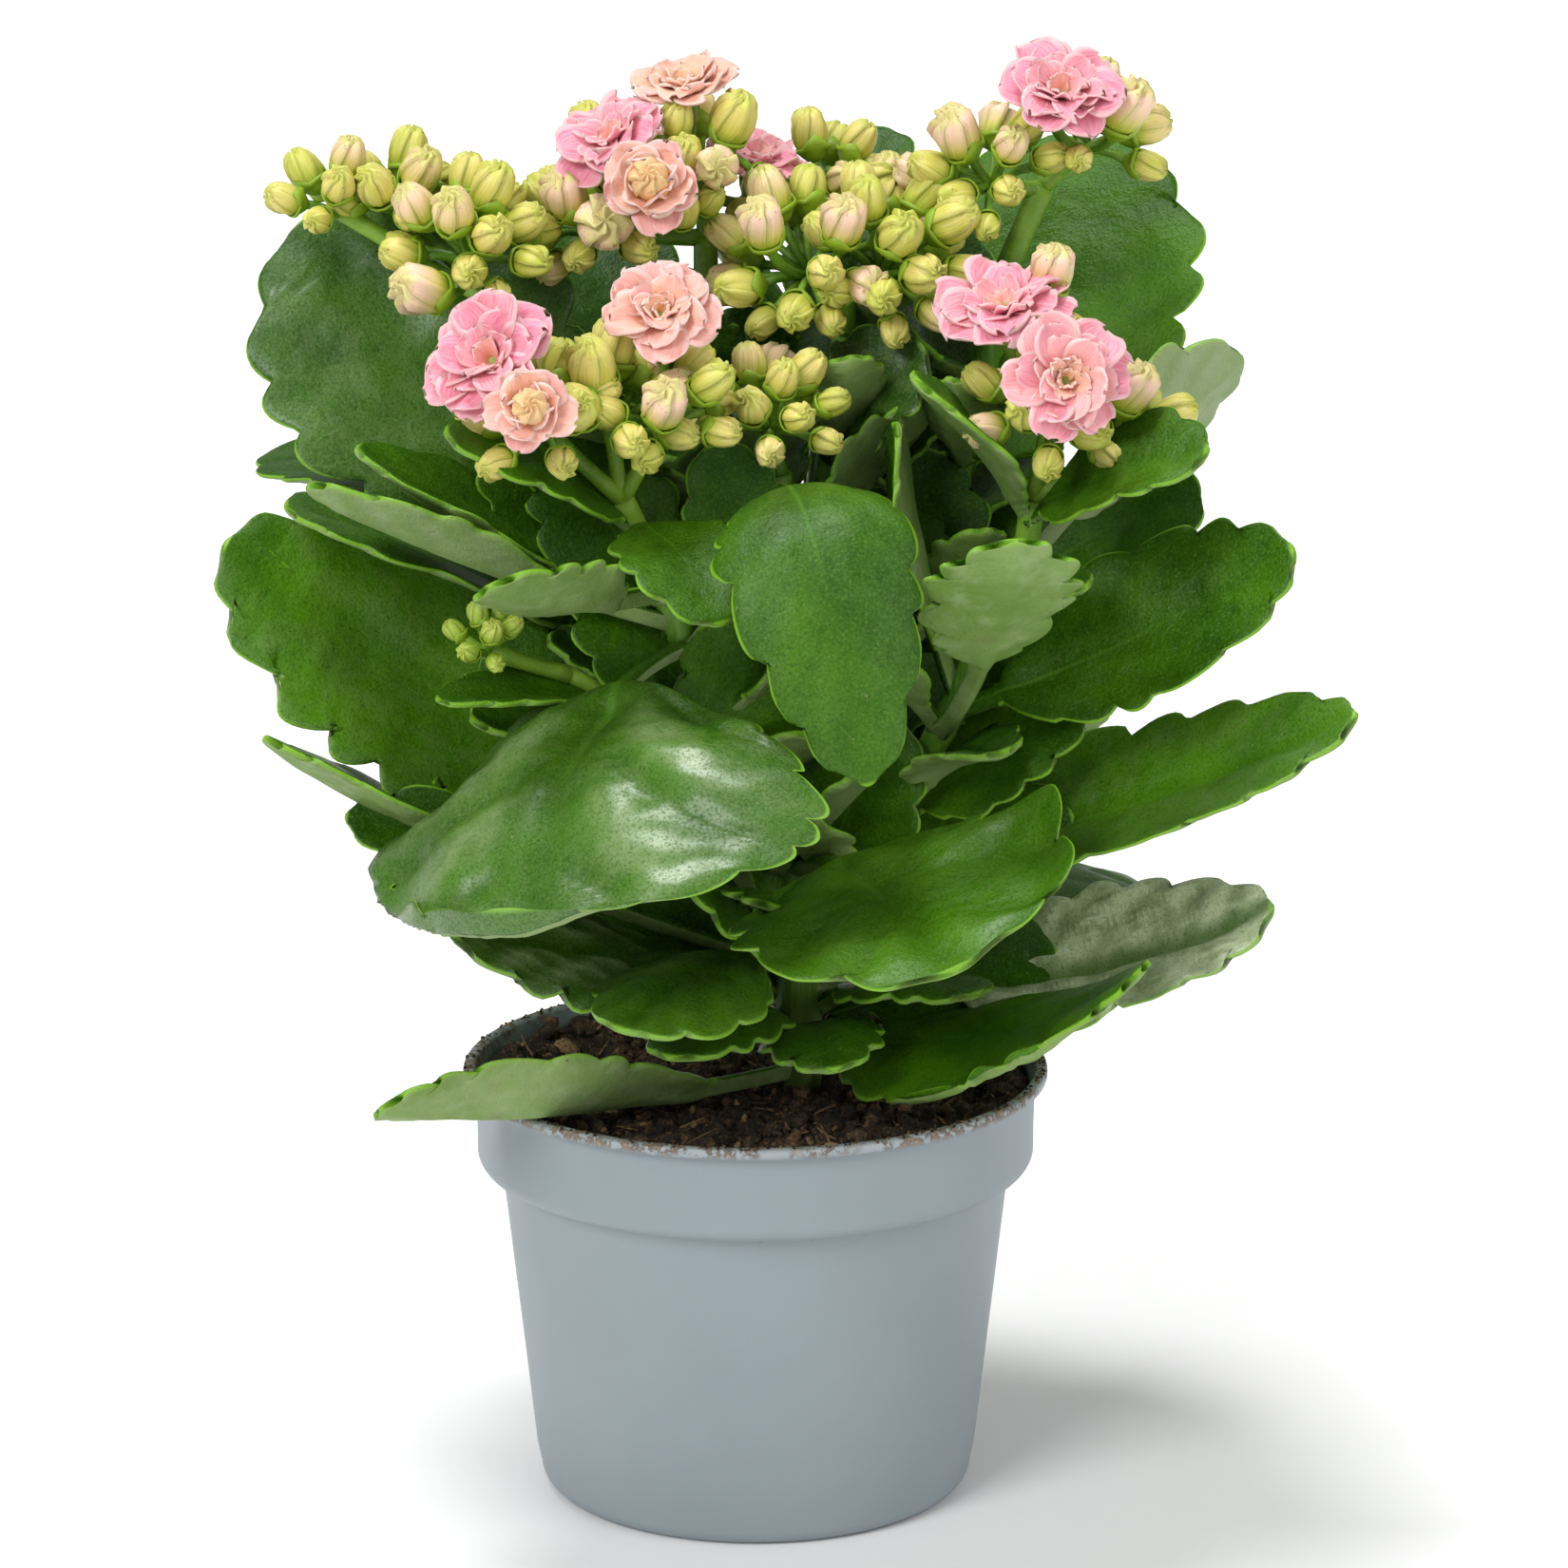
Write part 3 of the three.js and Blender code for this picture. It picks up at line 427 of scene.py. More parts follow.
# Each stem: its radius, and the points that its middle runs through.
STEMS = {
    "main": (4.6, [(9, 2, 58), (9, 1, 100), (7, 0, 140), (5, -2, 178), (5, -6, 204)]),
    "right": (3.0, [(9, 1, 104), (24, -7, 136), (42, -14, 172), (54, -18, 202)]),
    "back_right": (2.8, [(9, 1, 114), (25, 12, 158), (41, 19, 208), (51, 22, 250)]),
    "left": (3.0, [(8, 0, 110), (-2, -9, 146), (-13, -17, 178), (-19.5, -20, 197)]),
    "back": (2.6, [(7, 0, 140), (11, 9, 180), (15, 14, 215), (18, 15, 238)]),
    "back_left": (2.8, [(8, 0, 124), (-2, 13, 170), (-8, 22, 220), (-10, 25, 246)]),
    "far_left": (2.8, [(8, 0, 118), (-16, 4, 156), (-36, 7, 200), (-47, 6, 236)]),
    "far_back": (2.6, [(7, 0, 134), (10, 22, 178), (15, 36, 220), (19, 44, 250)]),
}


def on_curve(points, share):
    """A place on the smooth curve through the points, from 0 at its first to 1 at its last."""
    place = min(max(share, 0), 1) * (len(points) - 1)
    k = min(int(place), len(points) - 2)
    a, b = Vector(points[k]), Vector(points[k + 1])
    before = Vector(points[k - 1]) if k else 2 * a - b
    after = Vector(points[k + 2]) if k + 2 < len(points) else 2 * b - a
    d0, d1, d2 = [(q - p).length ** 0.5 for p, q in ((before, a), (a, b), (b, after))]
    leave = ((a - before) / d0 - (b - before) / (d0 + d1) + (b - a) / d1) * d1
    arrive = ((b - a) / d1 - (after - a) / (d1 + d2) + (after - b) / d2) * d1
    w = place - k
    square, cube = 3 * (b - a) - 2 * leave - arrive, 2 * (a - b) + leave + arrive
    return a + leave * w + square * w ** 2 + cube * w ** 3


def on_stem(name, height):
    """The point on a stem's middle at a height."""
    points = STEMS[name][1]
    low, high = points[0][2], points[-1][2]
    share = (height - low) / (high - low)
    for _ in range(6):
        share += (height - on_curve(points, share).z) / (high - low)
    return on_curve(points, share)


green, shader, start, here = new_finish("stem_skin")
x, y, height = here.parts()
streak = start.place(x, y, height * 0.06).grain(1300, 3)
patch = here.grain(60, 2).between(0.35, 0.65)
low = 1 - height.between(0.082, 0.125)
skin = patch.blend((0.070, 0.200, 0.010), (0.140, 0.330, 0.022)).coated(
    (streak.between(0.45, 0.75) * 0.6, (0.240, 0.450, 0.060)),
    (low * 0.6, (0.110, 0.120, 0.030)),
)
feed(shader, Base_Color=skin, Roughness=0.42 + 0.12 * streak,
     Normal=start.bumped(streak + here.grain(2400, 2) * 0.4, 0.3, 0.3))

bm = bmesh.new()
for stem_radius, points in STEMS.values():
    shares = [k / STEM_STEPS for k in range(STEM_STEPS + 1)]
    swell = [1 + 0.09 * max(0, math.cos(7 * math.pi * s)) ** 8 - 0.07 * s for s in shares]
    add_tube(bm, [on_curve(points, s) for s in shares], [stem_radius * w for w in swell], 16)
add_piece("stem_growth", bm, [green], "stem_green", "stems")

# The leaves: fleshy blades with a scalloped edge on a short stalk, in pairs up the stems. Their upper
# side is dark and satin with sunken veins, the lower side is pale and dull, and the rim is a lime line.
# Their skin carries painted shade in the vein creases, and painted light and highlights on the swells.

PETIOLE_HALF = 2.1
LEAF_THICK = 2.0
LEAF_EDGE_THICK = 1.1
# Where on a blade its notches point, where they start round it, and its stalk's share of the rows.
HEART = 0.44
FIRST_NOTCH = 0.24 * math.pi
STALK_ROWS = 0.12


def curve_points(a, bend, b, steps):
    """Points on the bow from a to b that bend pulls at, at even steps."""
    shares = [k / steps for k in range(steps + 1)]
    return [(1 - s) ** 2 * a + 2 * s * (1 - s) * bend + s * s * b for s in shares]


def width_share(v, widest):
    """A blade's width at v, from 0 at its foot to 1 at its tip, as a share of its greatest width."""
    if v < widest:
        return (1 - ((widest - v) / widest) ** 1.9) ** 0.72
    return math.sqrt(max(0, 1 - ((v - widest) / (1 - widest)) ** 2.3))


def notch(angle, lobes, seed):
    """0 on the back of a lobe and 1 in a notch of the scalloped edge, at an angle round the blade."""
    phase = (angle - FIRST_NOTCH) / (math.pi - FIRST_NOTCH) * (lobes + 0.5)
    phase += 0.22 * math.sin(1.9 * phase + seed) * math.sin(min(max(angle, 0), math.pi))
    if phase <= 0:
        return 0
    back = math.sin(math.pi * (phase % 1) ** 1.2) ** 0.66
    return (1 - back) * min(1, phase + 0.35) * (1 + 0.35 * math.sin(3.1 * seed + 2.3 * int(phase)))


def two_sided(part, columns, rows):
    """A flat square in rows and columns with a second one below it and a wall round both, closed."""
    bmesh.ops.create_grid(part, x_segments=columns, y_segments=rows, size=1)
    new = bmesh.ops.extrude_face_region(part, geom=part.faces[:], use_keep_orig=True)["geom"]
    below = [g for g in new if isinstance(g, bmesh.types.BMVert)]
    bmesh.ops.translate(part, vec=(0, 0, -1), verts=below)
    bmesh.ops.recalc_face_normals(part, faces=part.faces)


def add_leaf(bm, root, tip, petiole, width, roll=0, arch=0, cup=0, curl=0, bright=0.4, grey=0.2,
             quilt=1.0, veins=4.3, deep=1.0, lobes=0, widest=0.46, brim=(1, 0, 60, 80), twist=0,
             look=UP, rows=64, columns=16, seed=0, finish=0):
    """A leaf from its root to its tip, on a stalk as long as petiole. roll turns its upper face about its
    length, and look is where that face looks without roll. arch bows the midrib, cup lifts the sides, curl
    lifts the tip, and twist turns the blade on towards the tip. quilt swells the skin between the pairs of
    veins, and deep cuts the notches deeper between the lobes. widest is where the blade is widest. brim
    folds up the rim: from where out, about which direction from the tip, how far and by what angle."""
    root, tip = Vector(root), Vector(tip)
    along = unit(tip - root)
    look = Vector(look)
    face = unit(look - along * along.dot(look))
    face.rotate(Quaternion(along, math.radians(roll)))
    bend = (root + tip) / 2 + face * 2 * arch
    middle = curve_points(root, bend, tip, 24)
    length = sum((b - a).length for a, b in zip(middle, middle[1:]))
    foot = petiole / length
    blade_length = length - petiole
    lobes = lobes or min(max(round(blade_length / 13), 4), 6)
    depth = deep * (0.22 - 0.08 * smooth(25, 80, blade_length))
    half = width / 2
    fold = math.radians(brim[3])
    drawn_in = 1.2 * (1 - math.cos(fold))

    part = bmesh.new()
    blade_layer = part.verts.layers.float_vector.new("blade")
    tone_layer = part.verts.layers.float_vector.new("tone")
    two_sided(part, columns, rows)
    for vert in part.verts:
        # The outline: t across the leaf, and s along its midrib. v runs along the blade alone.
        across, row, above = math.sin(vert.co.x * math.pi / 2), (vert.co.y + 1) / 2, vert.co.z > -0.5
        near = abs(across)
        hand = 1 if across > 0 else -1
        angle = math.pi * max(0, row - STALK_ROWS) / (1 - STALK_ROWS)
        cut = notch(angle, lobes, seed + 2 * hand)
        if row < STALK_ROWS:
            s, v = foot * row / STALK_ROWS, 0
            out = PETIOLE_HALF * (1 + 0.5 * smooth(0.25, 0, row / STALK_ROWS))
        else:
            v = (1 - math.cos(angle)) / 2
            inward = 1 - depth * cut * near ** 6
            out = half * width_share(v, widest) * inward
            out = max(PETIOLE_HALF * (1 - smooth(0.3, 1, v)) + 0.5, out)
            v += (HEART + (v - HEART) * inward - v) * near
            s = foot + (1 - foot) * v
        t = across * out
        # The brim: what lies outside it is drawn in, and later lifted.
        q = t / half
        ahead = (v - widest) / (1 - widest) if v > widest else 0.7 * (widest - v) / widest
        spread = math.hypot(q, ahead)
        away = abs((math.degrees(math.atan2(q, (v - widest) * 2)) - brim[1] + 180) % 360 - 180)
        here = smooth(brim[2], brim[2] * 0.5, away)
        folded = here * max(0, spread - brim[0])
        drawn = (here * (1 / brim[0] - 1) * min(spread, brim[0]) - folded * drawn_in) / max(spread, 0.01)
        s += drawn * (v - widest) * (1 - foot)
        t *= 1 + drawn
        # The frame on the midrib, and how far the blade bends away from it.
        forward = unit(2 * (1 - s) * (bend - root) + 2 * s * (tip - bend))
        up = unit(face - forward * face.dot(forward))
        if twist:
            up.rotate(Quaternion(forward, math.radians(twist * v)))
        side = forward.cross(up)
        lift = cup * q * q + curl * v ** 3 + 0.022 * width * q * q * math.sin(9 * v + 2 * hand)
        lift += 1.2 * folded * half * math.sin(fold)
        lift += 0.5 * deep * (cut - 0.3) * near ** 5 * smooth(0, 0.2, v)
        # The skin: swollen between the veins, sunken along the midrib, and a little uneven.
        on_blade = smooth(0, 0.12, v) * smooth(1.0, 0.86, v)
        pair = veins * (v - 0.52 * abs(q) + 0.10 * q * q + 0.03 * math.sin(5 * q + seed) + 0.04 * seed)
        swell = abs(math.sin(math.pi * pair)) ** 0.5 - 0.6
        raised = swell * smooth(0.02, 0.25, abs(q)) * (1 - near ** 4) * on_blade
        lift += quilt * 0.020 * width * raised
        lift -= quilt * math.exp(-(t / 2.2) ** 2) * on_blade
        ripple = noise.fractal(Vector((t / 19, v * blade_length / 19, seed * 1.7)), 0.9, 2.0, 3)
        lift += quilt * 0.014 * width * ripple * on_blade
        # The two sides, which meet in a round rim. The lower one has a keel along the midrib.
        place = (1 - s) ** 2 * root + 2 * s * (1 - s) * bend + s * s * tip + side * t + up * lift
        rounding = math.sqrt(max(0, 1 - smooth(0.9, 1.0, near) ** 2))
        thick = LEAF_THICK + (LEAF_EDGE_THICK - LEAF_THICK) * near * near
        thick = thick * min(1, (out / 5) ** 0.7) * rounding + 0.2
        stalk = 1 - smooth(0, 0.16, v)
        dome = math.sqrt(max(0, 1 - near * near))
        if above:
            rise = thick / 2 + 0.5 * stalk * dome
        else:
            keel = (1.5 * (1 - v) + 0.2) * math.exp(-(t / 1.9) ** 2)
            rise = -thick / 2 - keel * (0.3 + 0.7 * stalk) * dome
        vert.co = place + up * rise
        to_rim = min((1 - near) * max(out, 1), (1 - v) * blade_length * 0.8 + 0.01)
        if row < STALK_ROWS:
            v, to_rim = row / STALK_ROWS - 1, 6
        # Painted shade and light: the skin is set darker in the sunken vein creases and lighter on the
        # swells, and greyer on the swells for a waxy bloom with painted highlights.
        grey_and_highlight = grey * (0.75 + 0.95 * max(raised, 0))
        vert[blade_layer] = Vector((q, v, 1 if above else -1))
        vert[tone_layer] = Vector((bright + 0.35 * raised, grey_and_highlight, to_rim))
    take_in(bm, part, finish)


leaf_skin, shader, start, here = new_finish("leaf_skin")
across, v, above = start.attribute("blade").parts()
bright, grey, rim = start.attribute("tone").parts()
patch = here.grain(38, 3, 0.55)
mottle = here.grain(190, 4, 0.6)
pores = here.grain(1700, 3, 0.6)
deep = patch.between(0.32, 0.68).blend((0.009, 0.044, 0.0004), (0.020, 0.078, 0.001))
fresh = patch.between(0.32, 0.68).blend((0.042, 0.146, 0.001), (0.080, 0.228, 0.001))
# A waxy bloom and a painted highlight: a mottled pale grey-green veil on the grey leaves, strongest on the
# swells and weaker along the midrib.
bloom_and_highlight_colour = grey.between(0.5, 1.1).blend((0.185, 0.255, 0.090), (0.620, 0.700, 0.460))
bloom_and_highlight_veil = grey.between(0.50, 0.95) * (0.45 + 0.40 * mottle) + grey * mottle.between(0.36, 0.62) * 0.35
bloom_and_highlight_veil *= 0.30 + 0.70 * abs(across).between(0.03, 0.22)
midrib = (1 - abs(across).between(0.006, 0.035)) * (1 - v.between(0.05, 0.8))
# bright is darker in the vein creases and lighter on the swells: painted shade and light.
top = bright.blend(deep, fresh).coated(
    (bloom_and_highlight_veil, bloom_and_highlight_colour),
    (pores.between(0.50, 0.72) * 0.34, (0.130, 0.270, 0.040)),
    ((1 - pores.between(0.32, 0.48)) * 0.40, (0.003, 0.026, 0.0005)),
    (midrib * 0.45, (0.100, 0.270, 0.020)),
)
under = patch.between(0.3, 0.7).blend((0.135, 0.235, 0.045), (0.225, 0.340, 0.105)).coated(
    (mottle.between(0.45, 0.7) * 0.4, (0.330, 0.420, 0.205)),
    (here.grain(75, 4).between(0.60, 0.72) * 0.25, (0.160, 0.100, 0.060)),
    (grey.between(0.2, 0.8) * 0.8, (0.330, 0.400, 0.235)),
)
side = above.between(-0.3, 0.6)
lime = (1 - rim.between(0.15, 0.75)) * (0.5 + 0.5 * side)
scorch = (1 - rim.between(0.3, 2.2)) * here.grain(310, 4, 0.7).between(0.665, 0.72)
dust = here.grain(820, 2).between(0.735, 0.76)
colour = side.blend(under, top).coated(
    (lime * 0.85, (0.210, 0.450, 0.025)),
    (scorch, (0.110, 0.055, 0.020)),
    (dust * 0.6, (0.230, 0.200, 0.120)),
)
sheen = 0.30 + 0.16 * pores - mottle.between(0.4, 0.7) * 0.05 + (1 - side) * 0.2
gloss = grey.between(0.05, 0.60) * (0.25 + 0.60 * pores.between(0.36, 0.56)) * side
wrinkle = here.grain(430, 4, 0.6)
crease = start.place(across * 5, v * 5, bright).grain(1.4, 2, 0.5) * grey.between(0.9, 1.9)
feed(shader, Base_Color=colour, Roughness=sheen, Coat_Weight=gloss, Coat_Roughness=0.30,
     Normal=start.bumped(pores * 0.60 + wrinkle * 1.1 + mottle * 1.8 + crease * 12, 0.7, 0.45),
     Specular_IOR_Level=0.20)

# Each leaf: its name, the stem that it grows on, the height of its root, its tip, its stalk's length, the
# width of its blade, roll, arch, cup and curl, how bright and how grey its skin is, and what else shapes it.
LEAVES = [
    ("front_1", "left", 181, (-40, -84, 138), 24, 103, 16, 13, -17, 8, 0.50, 0.60,
     {"quilt": 1.7, "veins": 2.6, "deep": 0.34, "lobes": 7, "widest": 0.57, "brim": (0.89, 48, 88, 140),
     "rows": 130, "columns": 40}),
    ("front_2", "main", 130, (39, -82, 129), 34, 66, 18, 11, 4, 4, 0.80, 0.26,
     {"quilt": 1.8, "veins": 3.0, "brim": (0.78, -64, 42, 34), "rows": 100, "columns": 24}),
    ("front_3", "main", 200, (22, -73, 166), 30, 40, 12, 36, -4, 0, 0.40, 0.16,
     {"quilt": 0.8, "deep": 1.1, "widest": 0.38, "lobes": 5, "rows": 84}),
    ("front_4", "right", 162, (50, -64, 212), 36, 33, 0, -5, 2, 0, 0.60, 0.10,
     {"quilt": 0.7, "deep": 1.7, "lobes": 5, "widest": 0.56, "rows": 90}),
    ("front_5", "left", 193, (-50, -68, 204), 18, 26, 28, -3, 3, 0, 0.80, 0.10, {"deep": 1.4}),
    ("front_6", "main", 146, (-56, -31, 169), 34, 28, -10, 0, 3, 0, 0.45, 0.10, {}),
    ("front_7", "main", 108, (-26, -62, 114), 26, 34, -8, 8, -5, 0, 0.85, 0.45,
     {"quilt": 1.6, "deep": 0.5}),
    ("right_1", "right", 166, (106, -30, 203), 10, 37, 50, -4, 4, 0, 0.32, 0.0, {"rows": 90}),
    ("right_2", "main", 130, (117.5, -46, 173.5), 24, 37, 34, -7, 5, 0, 1.0, 0.50,
     {"quilt": 1.6, "rows": 100, "widest": 0.42}),
    ("right_3", "main", 106, (104.5, -16, 126.5), 32, 43, 26, -9, 4, 0, 0.90, 1.35,
     {"quilt": 2.2, "deep": 1.2, "rows": 90, "widest": 0.35}),
    ("right_4", "main", 94, (77, -60, 123), 12, 38, 20, -6, -3, 3, 0.85, 0.05,
     {"rows": 90, "columns": 20, "widest": 0.38, "brim": (0.88, 90, 70, 90)}),
    ("right_5", "back_right", 196, (75.5, 56, 270.5), 16, 69, 22, 5, 4, 0, 0.75, 0.0,
     {"rows": 90, "lobes": 5}),
    ("right_6", "right", 194, (98, 8, 234.5), 18, 37, -58, 3, 3, 0, 0.35, 0.65, {}),
    ("right_7", "back_right", 166, (90, 14, 208), 22, 42, 40, 4, 3, 0, 0.30, 0.0, {}),
    ("right_8", "main", 134, (72, 8, 161), 24, 36, -26, -3, 3, 0, 0.55, 0.05, {}),
    ("left_1", "main", 124, (-106.5, -2, 198.5), 44, 57, -50, -6, 4, 0, 1.0, 0.50,
     {"quilt": 1.4, "deep": 2.0, "lobes": 6, "rows": 110}),
    ("left_2", "main", 110, (-97, -30, 165), 40, 36, 6, -4, 3, 0, 0.50, 0.25, {}),
    ("left_3", "left", 186, (-87, -36, 217), 24, 28, 20, -2, 3, 0, 0.50, 0.45, {"deep": 1.3}),
    ("left_4", "far_left", 170, (-94, -6, 207), 18, 38, -10, 4, 3, 0, 0.40, 0.10, {}),
    ("left_5", "left", 190, (-79, -12, 220), 18, 34, 0, -3, 5, 0, 0.25, 0.05, {}),
    ("left_6", "main", 96, (-60, -42, 128), 22, 44, -20, 5, -3, 0, 0.50, 0.72,
     {"quilt": 1.8, "deep": 1.3}),
    ("left_7", "far_left", 196, (-92.5, 32, 258), 12, 67, -56, 5, 4, 0, 0.38, 0.44,
     {"rows": 90, "quilt": 1.3, "lobes": 5}),
    ("left_8", "far_left", 196, (-100, 56, 206), 20, 50, -10, 5, 4, 0, 0.30, 0.10, {}),
    ("left_9", "main", 88, (-73, -63, 98.5), 24, 31, 30, -3, 6, 0, 0.80, 0.40,
     {"rows": 90, "widest": 0.62, "twist": 6}),
    ("inner_1", "main", 184, (36, 6, 226), 12, 36, -36, 2, 3, 0, 0.60, 0.0, {}),
    ("inner_2", "right", 168, (28, -12, 225), 12, 34, 190, 2, 3, 0, 0.20, 0.05, {}),
    ("inner_3", "back_left", 208, (-42, 52, 254), 14, 38, -20, 4, 3, 0, 0.20, 0.10, {}),
    ("inner_4", "back_right", 196, (34, 42, 266), 14, 30, 0, 2, 3, 0, 0.10, 0.45, {}),
    ("inner_5", "far_back", 218, (26, 84, 270), 14, 32, 0, 3, 3, 0, 0.20, 0.15, {}),
    ("back_1", "main", 106, (78, 60, 112), 32, 56, 0, 10, -5, 0, 0.45, 0.10, {"rows": 84}),
    ("back_2", "main", 128, (4, 94, 120), 32, 60, 0, 14, -8, 0, 0.40, 0.25, {"rows": 84, "quilt": 1.3}),
    ("back_3", "main", 104, (-62, 62, 104), 32, 56, 0, 11, -5, 0, 0.50, 0.10, {"rows": 84}),
    ("back_4", "far_back", 162, (46, 84, 160), 18, 56, 0, 12, -7, 0, 0.35, 0.15, {"rows": 84}),
    ("back_5", "back_left", 160, (-42, 80, 156), 20, 56, 0, 12, -7, 0, 0.40, 0.20, {"rows": 84}),
    ("back_6", "far_back", 200, (4, 88, 224), 14, 50, 0, 8, -3, 0, 0.30, 0.10, {"rows": 84}),
    ("back_7", "back_right", 176, (90, 50, 188), 18, 46, 10, 8, 4, 0, 0.40, 0.10, {"rows": 84}),
]


for number, row in enumerate(LEAVES):
    name, stem, height, tip, petiole, width, roll, arch, cup, curl, bright, grey, more = row
    bm = new_shape("blade", "tone")
    add_leaf(bm, on_stem(stem, height), tip, petiole, width, roll, arch, cup, curl, bright, grey,
             seed=number + 1, **more)
    add_piece("blade_" + name, bm, [leaf_skin], "leaf_green", "leaf_" + name)

# The young leaves: small ones of the same fleshy kind with a short stalk, which fill the inside of the
# plant. Their skin is set dark, as painted shade for the inside of the plant, and they grow in pairs,
# crosswise up every stem.

YOUNG_FIRST = 116
YOUNG_STEP = 17
YOUNG_TOP_GAP = 14
YOUNG_STALK = 7
# They stay inside the large leaves: this far from the pot's middle at most, and behind the front ones.
YOUNG_REACH = 76
YOUNG_FRONT = -52

for number, (stem, (stem_radius, points)) in enumerate(STEMS.items()):
    chance = random.Random(40 + number)
    bm = new_shape("blade", "tone")
    top_height = points[-1][2] - YOUNG_TOP_GAP
    height = max(YOUNG_FIRST, points[0][2] + 22) + 4 * (number % 3)
    turn = math.radians(50 * number)
    while height < top_height:
        root = on_stem(stem, height)
        for half_turn in (0, math.pi):
            way = turn + half_turn + chance.uniform(-0.3, 0.3)
            reach, rise = chance.uniform(24, 36), chance.uniform(14, 30)
            foot = root + around(0.7 * stem_radius, way)
            tip = root + around(reach, way, rise)
            if math.hypot(tip.x, tip.y * 0.9) < YOUNG_REACH and tip.y > YOUNG_FRONT:
                add_leaf(bm, foot, tip, YOUNG_STALK, chance.uniform(18, 27), chance.uniform(-20, 20),
                         chance.uniform(-3, 4), 3, 0, chance.uniform(0, 0.4), chance.uniform(0, 0.15),
                         quilt=0.8, rows=32, columns=8, seed=chance.uniform(0, 9))
        height += YOUNG_STEP
        turn += math.pi / 2 + chance.uniform(-0.15, 0.15)
    add_piece("young_leaves_" + stem, bm, [leaf_skin], "leaf_green")

# Small leaves between the large ones in front, each with its root, its tip, its stalk's length, its width,
# roll, arch and cup, how bright and how grey it is, and where its upper face looks.
FRONT_LEAVES = [
    ((6, -2, 98), (-17, -44, 103), 6, 28, 0, 5, -2, 0.45, 0.15, (0, 0, 1)),
    ((11, -3, 96), (16, -46, 101), 6, 26, 8, 5, -2, 0.40, 0.10, (0, 0, 1)),
    ((13, 1, 101), (45, -30, 112), 8, 30, 0, 5, -3, 0.35, 0.10, (0, 0, 1)),
    ((4, 2, 104), (-30, -22, 117), 8, 30, -6, 5, -3, 0.30, 0.20, (0, 0, 1)),
    ((3, -5, 112), (-16, -36, 139), 8, 32, 0, 4, -3, 0.40, 0.05, (0.1, -0.6, 1)),
    ((12, -4, 116), (4, -52, 136), 12, 30, 0, 4, -3, 0.35, 0.05, (0.1, -0.6, 1)),
    ((14, 2, 122), (38, 4, 174), 8, 32, 0, 3, 3, 0.30, 0.05, (-0.3, -1, 0.3)),
    ((-4, -4, 132), (-54, -6, 180), 12, 32, 0, 3, 3, 0.30, 0.05, (0.2, -1, 0.5)),
    ((12, -1, 124), (28, -14, 166), 8, 32, 0, 3, 3, 0.25, 0.05, (-0.3, -1, 0.2)),
    ((6, -4, 140), (-10, -20, 186), 8, 30, 0, 3, 3, 0.50, 0.0, (0.2, -1, 0.3)),
    ((26, -9, 140), (66, -16, 168), 10, 30, 0, 3, 3, 0.55, 0.10, (-0.2, -0.8, 1)),
    ((-8, -14, 162), (-34, -14, 194), 8, 28, 0, 3, 3, 0.35, 0.0, (0.4, -1, 0.4)),
    ((-16, -18, 184), (-40, -12, 222), 6, 30, 0, 3, 3, 0.25, 0.0, (0.2, -1, 0.2)),
    ((-30, 6, 188), (-52, -2, 226), 6, 28, 0, 3, 3, 0.30, 0.05, (0.2, -1, 0.3)),
    ((2, -8, 186), (-9, -20, 222), 6, 24, 0, 3, 3, 0.30, 0.05, (0.2, -1, 0.3)),
    ((14, 12, 214), (34, 0, 238), 6, 26, 0, 3, 3, 0.15, 0.55, (-0.5, -1, 0.5)),
    ((9, 8, 104), (-8, 24, 136), 8, 40, 0, 3, 3, 0.15, 0.0, (0.1, -1, 0.4)),
    ((14, 8, 100), (54, 22, 120), 8, 36, 0, 3, 3, 0.15, 0.0, (0.1, -1, 0.5)),
    ((24, 10, 176), (36, 16, 214), 6, 34, 0, 3, 3, 0.15, 0.0, (0.1, -1, 0.3)),
    ((16, 4, 98), (62, 0, 112), 8, 30, 0, 3, 3, 0.20, 0.0, (0.1, -1, 0.6)),
    ((4, 4, 102), (-34, 8, 128), 8, 36, 0, 3, 3, 0.20, 0.0, (0.1, -1, 0.4)),
    ((-16, 6, 158), (-50, 12, 194), 8, 34, 0, 3, 3, 0.15, 0.0, (0.1, -1, 0.4)),
    ((12, -2, 116), (64, -18, 146), 10, 34, 0, 3, 3, 0.35, 0.05, (-0.2, -1, 0.8)),
    ((-6, 20, 216), (-22, 8, 244), 6, 26, 0, 3, 3, 0.15, 0.45, (0.3, -1, 0.4)),
    ((-24, -10, 128), (-81.5, -26, 148), 14, 20, 0, 3, 3, 0.20, 0.0, (0.1, -1, 0.6)),
]
bm = new_shape("blade", "tone")
for number, (root, tip, petiole, width, roll, arch, cup, bright, grey, look) in enumerate(FRONT_LEAVES):
    add_leaf(bm, root, tip, petiole, width, roll, arch, cup, 0, bright, grey, look=look, rows=48,
             columns=12, seed=60 + number)
add_piece("young_leaves_front", bm, [leaf_skin], "leaf_green")

# The flower heads: forked green branches that end in domes of closed buds. A bud is an egg of
# overlapping waxy petals, yellow-green with a peach blush, in a cup of four green sepals on a short stalk.

GOLDEN_TURN = math.pi * (3 - math.sqrt(5))
